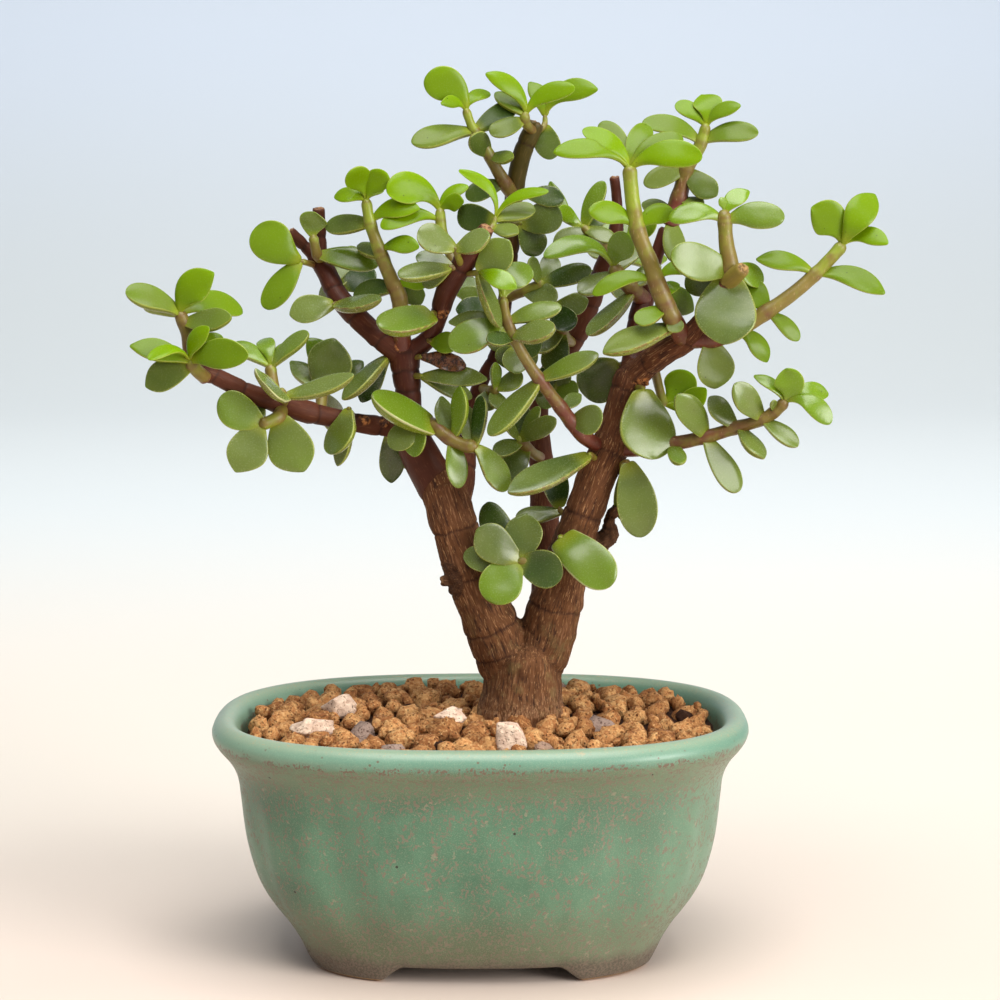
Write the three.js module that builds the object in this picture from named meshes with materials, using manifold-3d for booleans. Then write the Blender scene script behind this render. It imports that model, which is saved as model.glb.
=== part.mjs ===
// Potted dwarf jade bonsai: a small succulent tree in a low, soft-cornered glazed pot on four feet.
// Millimetres, +Z up, the viewer stands at -Y. The tree is read from one viewpoint, so the lists below
// give each point as seen on the plane through the trunk (x, z) together with its depth y behind it.
import * as THREE from "three";
import { mergeVertices } from "three/addons/utils/BufferGeometryUtils.js";
import Module from "manifold-3d";

const wasm = await Module();
wasm.setup();

// Driving dimensions of the pot.
const potHalfWidth = 64.5;
const potSideInset = 19.5;
const potRimHeight = 60.3;
const potFloorTop = 9.5;
const potFloorUnderside = 5;
const potPlanPower = 2.6;
const potSegments = 40;
const footInnerHalfWidth = 34;
const archHalfWidth = 24;
const archSideHalfWidth = 12;
const archHeight = 3.8;
const drainHoleRadius = 6;
const drainHoleSpacing = 44;
const drainHoleSides = 16;

// Driving dimensions of what fills the pot.
const screenSize = 18;
const screenThickness = 1;
const screenHoles = 4;
const screenHoleSize = 2.6;
const soilBottom = 11.2;
const soilEdgeHeight = 57.4;
const soilMound = 2;
const soilLump = 0.8;
const soilRings = [56.2, 45, 34, 23, 11];
const soilSegments = 32;
const gap = 0.35;

// Driving dimensions of the foliage.
const youngLeafThickness = 1.3;
const leafThicknessShare = 0.17;
const thickestLeaf = 2.7;
const leafSag = 0.06;
const longLeaf = 15;
const leafRoot = 0.9;
const viewpoint = new THREE.Vector3(5.2, -615, 200);
const towardViewer = new THREE.Vector3(0, -1, 0);

const colours = {
  glaze: 0x4f9a86,
  screen: 0x2c2f2d,
  soil: 0xa87442,
  pumice: 0xd9c9b4,
  bark: 0x6b4130,
  matureLeaf: new THREE.Color(0x3f6426),
  youngLeaf: new THREE.Color(0x9dbe3a),
};

// Carries a point seen at (x, z) on the trunk's plane along its line of sight to depth y.
function seen(x, y, z) {
  const reach = (y - viewpoint.y) / -viewpoint.y;
  return new THREE.Vector3(
    viewpoint.x + (x - viewpoint.x) * reach,
    y,
    viewpoint.z + (z - viewpoint.z) * reach,
  );
}

function mergedCorners(geometry) {
  geometry.deleteAttribute("normal");
  geometry.deleteAttribute("uv");
  return mergeVertices(geometry);
}

// Turns a closed geometry into a solid that can be joined and cut.
function solidOf(geometry) {
  const merged = mergedCorners(geometry);
  const corners = merged.index.array;
  const kept = [];
  for (let i = 0; i < corners.length; i += 3) {
    const [a, b, c] = [corners[i], corners[i + 1], corners[i + 2]];
    if (a !== b && b !== c && c !== a) kept.push(a, b, c);
  }
  return new wasm.Manifold(new wasm.Mesh({
    numProp: 3,
    vertProperties: Float32Array.from(merged.attributes.position.array),
    triVerts: Uint32Array.from(kept),
  }));
}

function joined(solids) {
  return solids.reduce((whole, next) => whole.add(next));
}

function biggestPiece(solid) {
  return solid.decompose().reduce((most, next) => (next.volume() > most.volume() ? next : most));
}

function meshOf(name, solid, colour, roughness) {
  const { vertProperties, triVerts } = solid.getMesh();
  const geometry = new THREE.BufferGeometry();
  geometry.setAttribute("position", new THREE.BufferAttribute(vertProperties, 3));
  geometry.setIndex(new THREE.BufferAttribute(triVerts, 1));
  geometry.computeVertexNormals();
  const material = new THREE.MeshStandardMaterial({ color: colour, roughness, metalness: 0 });
  const mesh = new THREE.Mesh(geometry, material);
  mesh.name = name;
  return mesh;
}

// A seeded row of numbers from 0 to 1, so that the soil and stones come out the same each time.
function randomRow(seed) {
  let state = seed;
  return () => {
    state = (state * 1664525 + 1013904223) % 4294967296;
    return state / 4294967296;
  };
}

// Pot: a turned profile whose circles are pressed into a rounded rectangle with full corners.
function planPoint(reach, angle) {
  const inset = Math.min(reach * 0.36, potSideInset);
  const power = 2 / potPlanPower;
  const cos = Math.cos(angle);
  const sin = Math.sin(angle);
  return [
    reach * Math.sign(cos) * Math.abs(cos) ** power,
    (reach - inset) * Math.sign(sin) * Math.abs(sin) ** power,
  ];
}

function pressedLathe(profile, segments) {
  const outline = profile.map(([reach, height]) => new THREE.Vector2(reach, height));
  const geometry = new THREE.LatheGeometry(outline, segments);
  geometry.rotateX(Math.PI / 2);
  const position = geometry.attributes.position;
  for (let i = 0; i < position.count; i += 1) {
    const reach = Math.hypot(position.getX(i), position.getY(i));
    const angle = Math.atan2(position.getY(i), position.getX(i));
    const [x, y] = planPoint(reach, angle);
    position.setXY(i, x, y);
  }
  return geometry;
}

const outerWall = [
  [39.5, 0], [42.4, 0.8], [43.8, 4], [46.4, 9], [49.8, 13.4], [53, 18.6], [55.4, 25.2], [57.1, 33.4],
  [58, 43], [58.9, 48.4], [61.6, 51], [63.8, 53.8], [potHalfWidth, 56.6], [63.6, 59.3],
  [61.4, potRimHeight], [59.6, 59.6],
];
const innerWall = [
  [58.2, 58], [57.2, 55], [56, 50], [53.8, 36], [51, 23], [46.4, 14.5], [43.2, potFloorTop],
];

function buildPot() {
  const closed = [
    ...outerWall, ...innerWall, [0, potFloorTop], [0, potFloorUnderside],
    [footInnerHalfWidth, potFloorUnderside], [footInnerHalfWidth, 0], outerWall[0],
  ];
  const body = solidOf(pressedLathe(closed, potSegments));
  const arches = [archSolid(archHalfWidth, 0), archSolid(archSideHalfWidth, Math.PI / 2)];
  const holes = [-1, 1].map((side) => {
    const length = 2 * potFloorTop;
    const bore = new THREE.CylinderGeometry(drainHoleRadius, drainHoleRadius, length, drainHoleSides);
    bore.rotateX(Math.PI / 2).translate(side * drainHoleSpacing / 2, 0, potFloorTop);
    return solidOf(bore);
  });
  return body.subtract(joined([...arches, ...holes]));
}

// An arch cut right through under the pot, with rounded shoulders, that leaves the corners as feet.
function archSolid(halfWidth, turn) {
  const depth = 3 * potHalfWidth;
  const shoulder = 5.5;
  const belowFeet = -2;
  const shape = new THREE.Shape();
  shape.moveTo(-halfWidth, belowFeet);
  shape.lineTo(halfWidth, belowFeet);
  shape.lineTo(halfWidth, 0);
  shape.quadraticCurveTo(halfWidth - 1, archHeight, halfWidth - shoulder, archHeight);
  shape.lineTo(shoulder - halfWidth, archHeight);
  shape.quadraticCurveTo(1 - halfWidth, archHeight, -halfWidth, 0);
  const geometry = new THREE.ExtrudeGeometry(shape, { depth, bevelEnabled: false, curveSegments: 4 });
  geometry.translate(0, 0, -depth / 2).rotateX(Math.PI / 2).rotateZ(turn);
  return solidOf(geometry);
}

// Screen: a square of plastic mesh lying over a drainage hole.
function buildScreen(side) {
  const pitch = screenSize / screenHoles;
  const centreX = side * drainHoleSpacing / 2;
  const centreZ = potFloorTop + gap + screenThickness / 2;
  const plate = new THREE.BoxGeometry(screenSize, screenSize, screenThickness);
  const holes = [];
  for (let row = 0; row < screenHoles; row += 1) {
    for (let column = 0; column < screenHoles; column += 1) {
      const hole = new THREE.BoxGeometry(screenHoleSize, screenHoleSize, 4 * screenThickness);
      const x = (column + 0.5) * pitch - screenSize / 2;
      const y = (row + 0.5) * pitch - screenSize / 2;
      holes.push(solidOf(hole.translate(centreX + x, y, centreZ)));
    }
  }
  return solidOf(plate.translate(centreX, 0, centreZ)).subtract(joined(holes));
}

// Stones: pale pumice lumps on the soil, [x, y, half length, half width, half height].
const stones = [
  [-34.4, 5.2, 5, 3.6, 3], [-39.2, -12.7, 5.6, 3, 2.6], [7, -26.2, 3.4, 3, 3.8], [-7.3, -9, 4.2, 3.4, 2.8],
];

function soilTop(x, y) {
  const away = Math.hypot(x / 55, y / 37);
  return soilEdgeHeight + soilMound * Math.max(0, 1 - away * away);
}

function stoneSolid([x, y, length, width, height], seed, clearance) {
  const random = randomRow(seed);
  const lump = mergedCorners(new THREE.IcosahedronGeometry(1, 1));
  const position = lump.attributes.position;
  for (let i = 0; i < position.count; i += 1) {
    const swell = 0.86 + 0.28 * random();
    position.setXYZ(
      i,
      x + position.getX(i) * (length * swell + clearance),
      y + position.getY(i) * (width * swell + clearance),
      soilTop(x, y) + height * 0.45 + position.getZ(i) * (height * swell + clearance),
    );
  }
  return solidOf(lump);
}

// Soil: one bed of granules that fills the pot just below the rim and mounds toward the trunk.
function buildSoil(cutters) {
  const side = innerWall.map(([reach, height]) => [reach - gap, Math.max(height, soilBottom)]);
  const edge = side.filter(([, height]) => height < soilEdgeHeight && height > soilBottom);
  const profile = [
    [0, soilBottom], [43.8, soilBottom], ...edge.reverse(),
    ...soilRings.map((reach) => [reach, soilEdgeHeight]), [0, soilEdgeHeight],
  ];
  const bed = mergedCorners(pressedLathe(profile, soilSegments));
  const position = bed.attributes.position;
  const random = randomRow(11);
  for (let i = 0; i < position.count; i += 1) {
    const [x, y, z] = [position.getX(i), position.getY(i), position.getZ(i)];
    const lump = (random() - 0.5) * 2 * soilLump;
    if (z >= soilEdgeHeight) position.setZ(i, soilTop(x, y) + lump);
  }
  return cutters.reduce((bedSolid, cutter) => bedSolid.subtract(cutter), solidOf(bed));
}

// A rod bent along a smooth route, its radius given at each point of the route.
function bentRod(route, radii, sides, stepsPerSpan, clearance) {
  const curve = new THREE.CatmullRomCurve3(route, false, "centripetal");
  const spans = route.length - 1;
  const steps = spans * stepsPerSpan;
  const rings = [];
  let normal = new THREE.Vector3(0.3, -0.9, 0.2);
  for (let step = 0; step <= steps; step += 1) {
    const share = step / steps;
    const tangent = curve.getTangent(share);
    normal = normal.clone().addScaledVector(tangent, -normal.dot(tangent)).normalize();
    const place = share * spans;
    const span = Math.min(Math.floor(place), spans - 1);
    const radius = THREE.MathUtils.lerp(radii[span], radii[span + 1], place - span);
    const centre = curve.getPoint(share);
    rings.push({ centre, normal, across: tangent.cross(normal), radius: radius + clearance });
  }
  rings[0].centre.addScaledVector(curve.getTangent(0), -clearance);
  rings[steps].centre.addScaledVector(curve.getTangent(1), clearance);
  const geometry = new THREE.CylinderGeometry(1, 1, 1, sides, steps);
  const position = geometry.attributes.position;
  for (let i = 0; i < position.count; i += 1) {
    const ring = rings[Math.round((0.5 - position.getY(i)) * steps)];
    const point = ring.centre.clone()
      .addScaledVector(ring.normal, position.getX(i) * ring.radius)
      .addScaledVector(ring.across, position.getZ(i) * ring.radius);
    position.setXYZ(i, point.x, point.y, point.z);
  }
  return solidOf(geometry);
}

// Wood: each limb's route as [x, y, z, radius], from the root stump to the cut or forked end.
const limbs = {
  stump: [[9, 2, 44, 6], [9.6, 2, 53, 10.4], [9.9, 2, 62, 10], [10.4, 2, 70, 9.4], [11, 2, 77, 9]],
  left: [
    [6.5, 2, 71, 6.8], [4, 1, 78, 6.8], [1.3, 0, 84.5, 6.3], [-1.8, -1, 92, 6], [-4.5, -1, 100, 5.8],
    [-7, -1, 108, 5.6], [-9, 0, 114.5, 5.4],
  ],
  leftFork: [
    [-8.5, 0, 112.5, 4.8], [-12.6, 1, 119.5, 4.6], [-15.3, 1, 125, 4.3], [-17, 1, 131, 3.9],
    [-16.9, 0, 138, 3.2], [-17.4, 0, 143, 3.5], [-17.6, 0, 147.5, 3.7],
  ],
  right: [
    [13, 3, 71, 7], [16.3, 2, 79, 6.8], [18.4, 1, 87, 6.4], [20.7, 0, 96, 5.4], [23.4, -1, 104, 4.7],
    [26.2, -2, 112, 4.6], [29.2, -2, 120, 4.6], [31, -2, 124, 4.4], [32.3, -2, 128, 3.7],
    [34, -2, 134.5, 3.6], [36.3, -2, 141.5, 3.8],
  ],
  rear: [
    [16.5, 7, 80, 5], [16.4, 16, 94, 4], [15.6, 20, 105, 3.7], [15.5, 22, 115, 3.5],
    [14.4, 23, 125, 2.8], [14.2, 24, 134, 2.5], [17, 24, 142, 2.6], [21, 24, 147.5, 2.7],
    [24, 23.5, 152.5, 2.7], [26.3, 23, 158, 2.5], [28.3, 22, 163.5, 2.4], [30.3, 21, 168.5, 2.3],
    [32.2, 20, 174, 2], [32.7, 20, 181, 1.4], [32, 20, 188, 1.3],
  ],
  top: [
    [-6.5, 0, 110, 4], [-4.8, 5, 117, 3.8], [-3.6, 9, 124, 3], [-2, 11, 131, 2.3],
    [-1, 12, 135.5, 2], [1.4, 12, 141.4, 1.7], [4.5, 12, 147.5, 1.7], [6.3, 11, 159.3, 1.8],
    [8, 10, 174.4, 2], [8.3, 9, 182.8, 2.2], [10.3, 8, 193, 2.3], [13.7, 8, 200.7, 2.1],
  ],
  lowLeft: [
    [-17.5, 1, 128.5, 2.4], [-23, 0, 129.2, 2.3], [-28.6, -2, 130, 2.2], [-36.3, -4, 131.6, 2.4],
    [-42, -6.5, 133, 2.7], [-47.3, -8, 134.7, 2.5], [-55, -11, 137.5, 2.2], [-62, -13, 141, 2.1],
    [-66, -14, 142.6, 2.2],
  ],
  upperLeft: [
    [-18, 0, 146, 2.9], [-23, -1, 149.8, 2.6], [-28, 1, 154.5, 2.7], [-33, 4, 160, 2.6],
    [-36, 7, 166, 2.4], [-38.5, 9, 169.5, 2.2],
  ],
  upperLeftStub: [[-37.5, 9, 168.5, 1.7], [-41, 8, 172, 1.5], [-44.5, 7, 175.5, 1.5]],
  upperLeftPeg: [[-37.3, 9, 168.5, 1.9], [-37.4, 9, 175, 1.6], [-37.5, 8, 181, 1.6]],
  leftMiddle: [
    [-17, 0, 146, 2.7], [-12, -2, 150, 2.2], [-9.6, -5, 155, 2.2], [-7.6, -8, 161, 2.6],
    [-4.5, -11, 166.5, 2.7], [-1.3, -13, 171, 2.6], [2.2, -16, 176.3, 1.8],
  ],
  rightThick: [
    [35.8, -2, 140, 3.4], [40, -5, 143.8, 3.1], [44.5, -9, 146.8, 3], [49.5, -12.5, 150, 2.9],
    [52.5, -14, 153.5, 2.3], [55.5, -15, 158.3, 2.1], [58.3, -16, 162.6, 2.1],
  ],
  rightPurple: [
    [36.2, -1, 140, 3.2], [36.8, 3, 147, 2.7], [37.7, 6, 153, 2.8], [39, 8.5, 158.5, 2.6],
    [40.6, 10.5, 164, 1.9], [42, 12, 169.5, 1.7], [44.4, 13, 175.6, 2],
  ],
  dryTwig: [[27.5, 0, 100, 2], [31, 2, 102.5, 2.1], [31, 2, 106.5, 1.3], [33.2, 1, 109.6, 1.5]],
  dryBud: [[-6, -3, 91.5, 1.4], [-9.4, -4, 91.8, 1.1]],
};
const thinLimb = 4.5;

function buildWood(clearance) {
  const rods = Object.values(limbs).map((limb) => {
    const route = limb.map(([x, y, z]) => seen(x, y, z));
    const radii = limb.map((point) => point[3]);
    const sides = Math.max(...radii) > thinLimb ? 10 : 7;
    const stepsPerSpan = limb.length < 5 ? 2 : 1;
    return bentRod(route, radii, sides, stepsPerSpan, clearance);
  });
  return joined(rods);
}

// Leaf: a lens with a narrow foot and a broad blade. facing turns the upper face from the sky (0)
// toward the viewer (90 degrees).
function leafSolid(base, tip, facing, width, thickness, clearance) {
  const along = tip.clone().sub(base);
  const length = along.length();
  along.normalize();
  const front = towardViewer.clone().addScaledVector(along, -towardViewer.dot(along)).normalize();
  const above = front.clone().cross(along);
  if (above.z < 0) above.negate();
  const turn = THREE.MathUtils.degToRad(facing);
  const up = above.multiplyScalar(Math.cos(turn)).addScaledVector(front, Math.sin(turn));
  const across = up.clone().cross(along);
  const geometry = new THREE.SphereGeometry(1, 4, length > longLeaf ? 5 : 4);
  const position = geometry.attributes.position;
  for (let i = 0; i < position.count; i += 1) {
    const share = (1 - position.getY(i)) / 2;
    const ring = Math.sqrt(Math.max(1 - position.getY(i) ** 2, 1e-9));
    const blade = Math.max(Math.sin(Math.PI * share ** 1.3), 0) ** 0.7;
    const body = Math.max(Math.sin(Math.PI * share), 0) ** 0.6;
    const halfWidth = (width / 2) * blade + clearance;
    const halfThickness = (thickness / 2) * body + clearance;
    const onAxis = ring < 1e-3 ? 0 : 1 / ring;
    const reach = share * (length + 2 * clearance) - clearance;
    const point = base.clone()
      .addScaledVector(along, reach)
      .addScaledVector(across, position.getX(i) * onAxis * halfWidth)
      .addScaledVector(up, position.getZ(i) * onAxis * halfThickness)
      .addScaledVector(up, -leafSag * length * Math.sin(Math.PI * share));
    position.setXYZ(i, point.x, point.y, point.z);
  }
  return solidOf(geometry);
}

// Shoots: each is one young stem with its leaves. stem is a route of [x, y, z]; girth is its radius
// at the foot and at the tip. A leaf is [foot x, foot z, tip x, tip z, tip y, facing, width, youth].
const shoots = [
  {
    name: "far_left_upright_shoot", girth: [1.5, 1.2],
    stem: [[-65.2, -12.6, 142.6], [-68.3, -12.4, 147], [-69, -13, 151.5], [-71, -14, 157.2]],
    leaves: [
      [-70.6, 156.8, -83.5, 161.4, -17, 45, 7, 0.6], [-70.8, 157, -62.3, 165.8, -16, 78, 7.5, 0.8],
      [-70.6, 156, -79, 158, -6, 40, 4.5, 0.5], [-70.4, 156, -55.6, 156.6, -5, 60, 6, 0.7],
      [-69.8, 154, -58.5, 155.3, -21, 65, 5.5, 0.35],
    ],
  },
  {
    name: "far_left_front_shoot", girth: [1.4, 1.2],
    stem: [[-64.8, -15.4, 140.8], [-67.2, -18.2, 143], [-68.9, -20, 145.8]],
    leaves: [
      [-68.8, 146, -82.8, 148.6, -21, 60, 5.5, 0.65], [-68.8, 145.9, -78.4, 145.2, -28, 30, 3.6, 0.9],
      [-68.8, 146, -63.8, 153, -24, 60, 4.2, 0.95], [-68.5, 145.6, -60.6, 150.8, -16, 70, 4.5, 0.6],
      [-68.6, 145.8, -54.6, 146.2, -28, 72, 6.8, 0.7], [-68, 144.6, -79.3, 138.8, -19, 78, 6.8, 0.3],
    ],
  },
  {
    name: "low_left_top_shoot", girth: [1.3, 1.1],
    stem: [[-48.4, -8, 136], [-49.2, -6.5, 141], [-49.5, -5.5, 144.8]],
    leaves: [
      [-49.6, 144.4, -59, 149, -3, 45, 4.8, 0.6], [-49.3, 144.5, -40.3, 151.7, -8, 55, 4.6, 0.4],
      [-49.5, 144.6, -51.4, 150, 2, 75, 4.2, 0.75], [-49.4, 144.2, -44.2, 149.6, 0, 65, 4, 0.45],
    ],
  },
  {
    name: "low_left_lens_shoot", girth: [1.4, 1.5],
    stem: [[-46.2, -9, 134.8], [-46.6, -12.5, 137], [-47, -13.5, 139]],
    leaves: [
      [-47, 139, -53.8, 140.9, -22, 45, 7.5, 0.75], [-46.5, 136.6, -29.6, 141.6, -17, 50, 5.4, 0.35],
    ],
  },
  {
    name: "low_left_hanging_shoot", girth: [1.4, 1.2],
    stem: [[-46.8, -8, 134], [-47.6, -12, 131.6], [-50.2, -13.5, 130.3], [-52.8, -14, 129.4]],
    leaves: [
      [-52.7, 129.4, -61.8, 136.2, -15, 75, 8, 0.45], [-52.8, 129.4, -58.2, 118.2, -18, 84, 9, 0.5],
      [-52, 129.8, -53.6, 134.6, -7, 80, 4.4, 0.2], [-47.6, 131.6, -41.8, 118.3, -15, 86, 10.2, 0.4],
    ],
  },
  {
    name: "low_left_dark_shoot", girth: [1.2, 1.1],
    stem: [[-37.6, -4, 132], [-37.4, -1, 135.5], [-37.2, 1, 138.8]],
    leaves: [
      [-37.2, 138.6, -34.4, 150.3, -1, 84, 10.4, 0.1], [-37.2, 138.6, -40.6, 150.3, 6, 75, 6.4, 0.85],
      [-37.3, 137.6, -44.8, 144.8, 6, 65, 5, 0.5], [-37.2, 138, -27.4, 144.8, 7, 60, 5.6, 0.4],
      [-37.4, 136.6, -33.4, 128.8, 14, 70, 6, 0.3],
    ],
  },
  {
    name: "left_neck_leaves", girth: [1.2, 1.2],
    stem: [[-19, 0, 145.8], [-22.6, -1.5, 145.5]],
    leaves: [
      [-22.4, 145.5, -32.6, 135.6, -6, 45, 5.6, 0.35], [-22.2, 145.5, -28, 134.9, 2.5, 75, 6, 0.1],
    ],
  },
  {
    name: "low_left_front_leaves", girth: [1.2, 1.1],
    stem: [[-31.4, -3, 130.8], [-31, -6, 133], [-30.8, -8, 133.8]],
    leaves: [
      [-30.8, 133.7, -35.5, 122.4, -10.5, 60, 8.6, 0.5], [-31.2, 132.5, -33.9, 119.6, -5, 60, 4.6, 0.3],
    ],
  },
  {
    name: "left_fork_front_leaves", girth: [1.1, 1.1],
    stem: [[-15, -1, 129.8], [-14.6, -5, 130.6], [-14.4, -7, 130.9]],
    leaves: [
      [-14.4, 130.9, -21.2, 124, -8.5, 75, 6, 0.5], [-14.3, 130.9, -15.4, 121.8, -9.5, 70, 5.6, 0.45],
    ],
  },
  {
    name: "left_fork_rear_leaf", girth: [1.1, 1],
    stem: [[-21.4, 2, 129], [-21.5, 4, 126.4]],
    leaves: [
      [-21.5, 126.6, -21, 115.5, 5, 82, 5.8, 0.1], [-21.5, 127, -13.4, 120.6, 14, 75, 6.4, 0.3],
    ],
  },
  {
    name: "upper_left_broad_leaves", girth: [1.2, 1.1],
    stem: [[-38.6, 7, 167.6], [-41, 4.5, 168.2], [-42.6, 3.5, 168.8]],
    leaves: [
      [-42.5, 168.8, -52.6, 176.4, 2, 76, 9.4, 0.7], [-42.3, 168.6, -50.6, 157.2, 1.5, 76, 6.2, 0.6],
    ],
  },
  {
    name: "upper_left_short_shoot", girth: [1.1, 0.9],
    stem: [[-37, 7.5, 168.6], [-38, 4, 170], [-38.6, 2.5, 172.6], [-39, 2.5, 175.2]],
    leaves: [
      [-39, 175.2, -38.6, 180, 1, 85, 6.4, 0.65], [-38, 170, -23.6, 167.3, 1.5, 65, 5.8, 0.55],
    ],
  },
  {
    name: "upper_left_rear_leaf", girth: [1.1, 1],
    stem: [[-34, 5, 162.2], [-32.4, 11.5, 162.6]],
    leaves: [
      [-32.5, 162.6, -24.4, 166.2, 15, 76, 6.4, 0.15], [-32.6, 162.6, -37.4, 157.6, 20, 70, 6.2, 0.4],
      [-32.4, 162.6, -29.6, 172, 20, 75, 6, 0.5],
    ],
  },
  {
    name: "upper_left_low_leaves", girth: [1.2, 1.1],
    stem: [[-32, 3, 158.2], [-34.8, 0, 158.3]],
    leaves: [
      [-34.8, 158.3, -44.8, 155.8, -2, 76, 6.4, 0.5], [-34.2, 158.2, -23.1, 159.4, -8, 45, 5.6, 0.35],
    ],
  },
  {
    name: "left_middle_broad_leaf", girth: [1.1, 1.1],
    stem: [[-9.8, -6, 155.8], [-11.4, -10, 156.2]],
    leaves: [[-11.4, 156.2, -23.7, 152.9, -17, 56, 9.4, 0.45]],
  },
  {
    name: "upper_left_tall_shoot", girth: [1.9, 1],
    stem: [
      [-18, -1, 146.5], [-18.3, -3, 154], [-18.8, -4, 160], [-20.6, -4, 164], [-22.4, -4, 168.6],
      [-24.4, -4, 174], [-25.7, -4, 178.5], [-26.4, -4, 183.4],
    ],
    leaves: [
      [-26.4, 183.4, -30.8, 188.8, -9, 80, 6, 0.95], [-26.4, 183.4, -21, 188.6, -7, 75, 5.4, 0.95],
      [-26.3, 182.4, -33.9, 183.4, -2, 55, 4, 0.9], [-26.2, 182, -22.4, 185.2, 1, 60, 3, 0.9],
      [-25.6, 177.4, -36, 176.6, 2, 65, 5, 0.3], [-25.4, 177.4, -13.7, 180.7, -7, 60, 5, 0.8],
      [-23.4, 171, -13.9, 171.6, -8, 60, 4.6, 0.75], [-22.8, 169.6, -28, 172.6, 3, 65, 4.2, 0.3],
      [-19.6, 161.8, -29.6, 160.6, 1, 65, 5, 0.25], [-19.4, 162, -12, 162.8, -6, 70, 4, 0.75],
      [-18.8, 159.8, -12.6, 160.2, 2, 76, 5, 0.35],
    ],
  },
  {
    name: "middle_left_young_shoot", girth: [1.2, 0.9],
    stem: [[-4.6, -11, 166], [-7, -7, 171], [-8.6, -5.5, 176], [-9, -4, 181.2]],
    leaves: [
      [-9, 180.4, -21.6, 184.8, -8, 70, 7.6, 0.95], [-9, 181, -2.2, 185.9, -3, 50, 3.6, 0.95],
      [-9, 180, -3.3, 182.2, -8, 80, 4.2, 0.95], [-8.8, 177.8, -23, 176.2, -7, 66, 4.8, 0.8],
    ],
  },
  {
    name: "middle_left_boat_leaves", girth: [1.3, 1.2],
    stem: [[-4, -13, 167.4], [-4.9, -16, 169.6], [-5.6, -17.5, 172]],
    leaves: [
      [-5.6, 172, -14.2, 175.6, -18, 66, 6.8, 0.5], [-5.4, 171.8, 2.8, 174.4, -21.5, 56, 6.6, 0.5],
    ],
  },
  {
    name: "middle_left_lens_leaves", girth: [1.1, 1.1],
    stem: [[-4.6, -12, 166.4], [-7.6, -14, 167.2]],
    leaves: [
      [-7.4, 167.2, -19.1, 165.1, -17, 52, 5.4, 0.3], [-7, 167, -14.6, 169.8, -9.5, 65, 4.8, 0.25],
      [-7, 166.8, -13.4, 163.2, -8.5, 70, 5, 0.55],
    ],
  },
  {
    name: "middle_ring_leaves", girth: [1.2, 1.1],
    stem: [[-2.4, -12, 165.4], [0.8, -16, 165.6]],
    leaves: [
      [0.8, 165.6, 5, 152.5, -18, 50, 5, 0.45], [0.8, 165.8, 7.4, 173.2, -17, 80, 7.6, 0.35],
      [0.8, 165.6, 9, 161.8, -21.5, 65, 4.6, 0.95],
    ],
  },
  {
    name: "middle_yellow_shoot", girth: [1, 0.9],
    stem: [[1.6, -15, 174], [3.4, -12.5, 176.6], [4.3, -12, 179.4]],
    leaves: [
      [4.3, 179.4, -4.6, 189.6, -13, 50, 3, 1], [4.3, 179.3, 16.6, 184.6, -15, 45, 3.2, 1],
      [3.2, 176.4, 9.5, 174.9, -16, 66, 4.4, 0.45], [3.9, 178, 13.4, 180.7, -10, 66, 5, 0.3],
      [3.8, 178, -4.9, 179.4, -5, 76, 6, 0.15],
    ],
  },
  {
    name: "top_limb_side_leaves", girth: [1.2, 1.1],
    stem: [[8.2, 9, 176.6], [10.4, 5.5, 177.4]],
    leaves: [
      [10.4, 177.4, 19.8, 178.8, 3, 80, 7.2, 0.1], [10.2, 177.2, 14.4, 169.6, 6.5, 80, 6.4, 0.15],
    ],
  },
  {
    name: "top_left_shoot", girth: [1.5, 0.8],
    stem: [
      [8.3, 8, 183.6], [6, 5, 187], [3.5, 4, 191.4], [0.6, 3, 197], [-1.4, 2.5, 199.8], [-3, 2, 204.4],
    ],
    leaves: [
      [-3, 204.4, -12.6, 210.4, 0, 76, 7.8, 0.9], [-3, 204.4, 3, 207.4, 6, 60, 3.6, 0.85],
      [-2.8, 203.8, -8.6, 205, -3, 55, 3, 0.85], [-0.6, 198.8, -15.6, 195.9, -2, 64, 5.8, 0.6],
      [-0.4, 198.6, 9.4, 205, 6, 72, 5, 0.2], [2.9, 192.6, -1.7, 197.2, -3, 76, 5.2, 0.2],
      [2.9, 192.6, 8.2, 192.6, -2, 66, 3.6, 0.45], [6.3, 186.6, -2.9, 183.2, 3, 80, 4.6, 0.1],
    ],
  },
  {
    name: "top_tip_left_shoot", girth: [1, 0.9],
    stem: [[13, 7, 198.6], [11, 3.5, 200.8], [11.6, 3, 203.6]],
    leaves: [
      [11.5, 203.4, 1.8, 212, 1, 55, 4.6, 0.8], [11.5, 203, 4, 207.6, 6, 66, 4, 0.45],
      [11.6, 203.4, 22.8, 208.6, 1, 64, 4.6, 0.75], [11, 201, 2.8, 198.2, -1, 72, 4.4, 0.25],
    ],
  },
  {
    name: "top_tip_right_shoot", girth: [1, 0.9],
    stem: [[13.4, 9, 198], [15.6, 11.5, 200], [15.6, 12, 203.2]],
    leaves: [
      [15.6, 203.2, 28.2, 208.2, 9, 70, 5.4, 0.8], [15.4, 200, 17, 192, 8.5, 80, 6, 0.1],
      [15.6, 203.2, 12, 210, 15, 75, 4.6, 0.6],
    ],
  },
  {
    name: "top_limb_grey_leaf", girth: [1.2, 1.1],
    stem: [[9.2, 8, 182.4], [12, 5, 184.6]],
    leaves: [[11.7, 184.8, 20.2, 182.6, 3, 72, 5, 0.2]],
  },
  {
    name: "rear_small_shoot", girth: [1.1, 1],
    stem: [[31.6, 20.5, 170], [28.6, 16.5, 172.8], [23.8, 16, 176.8]],
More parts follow.
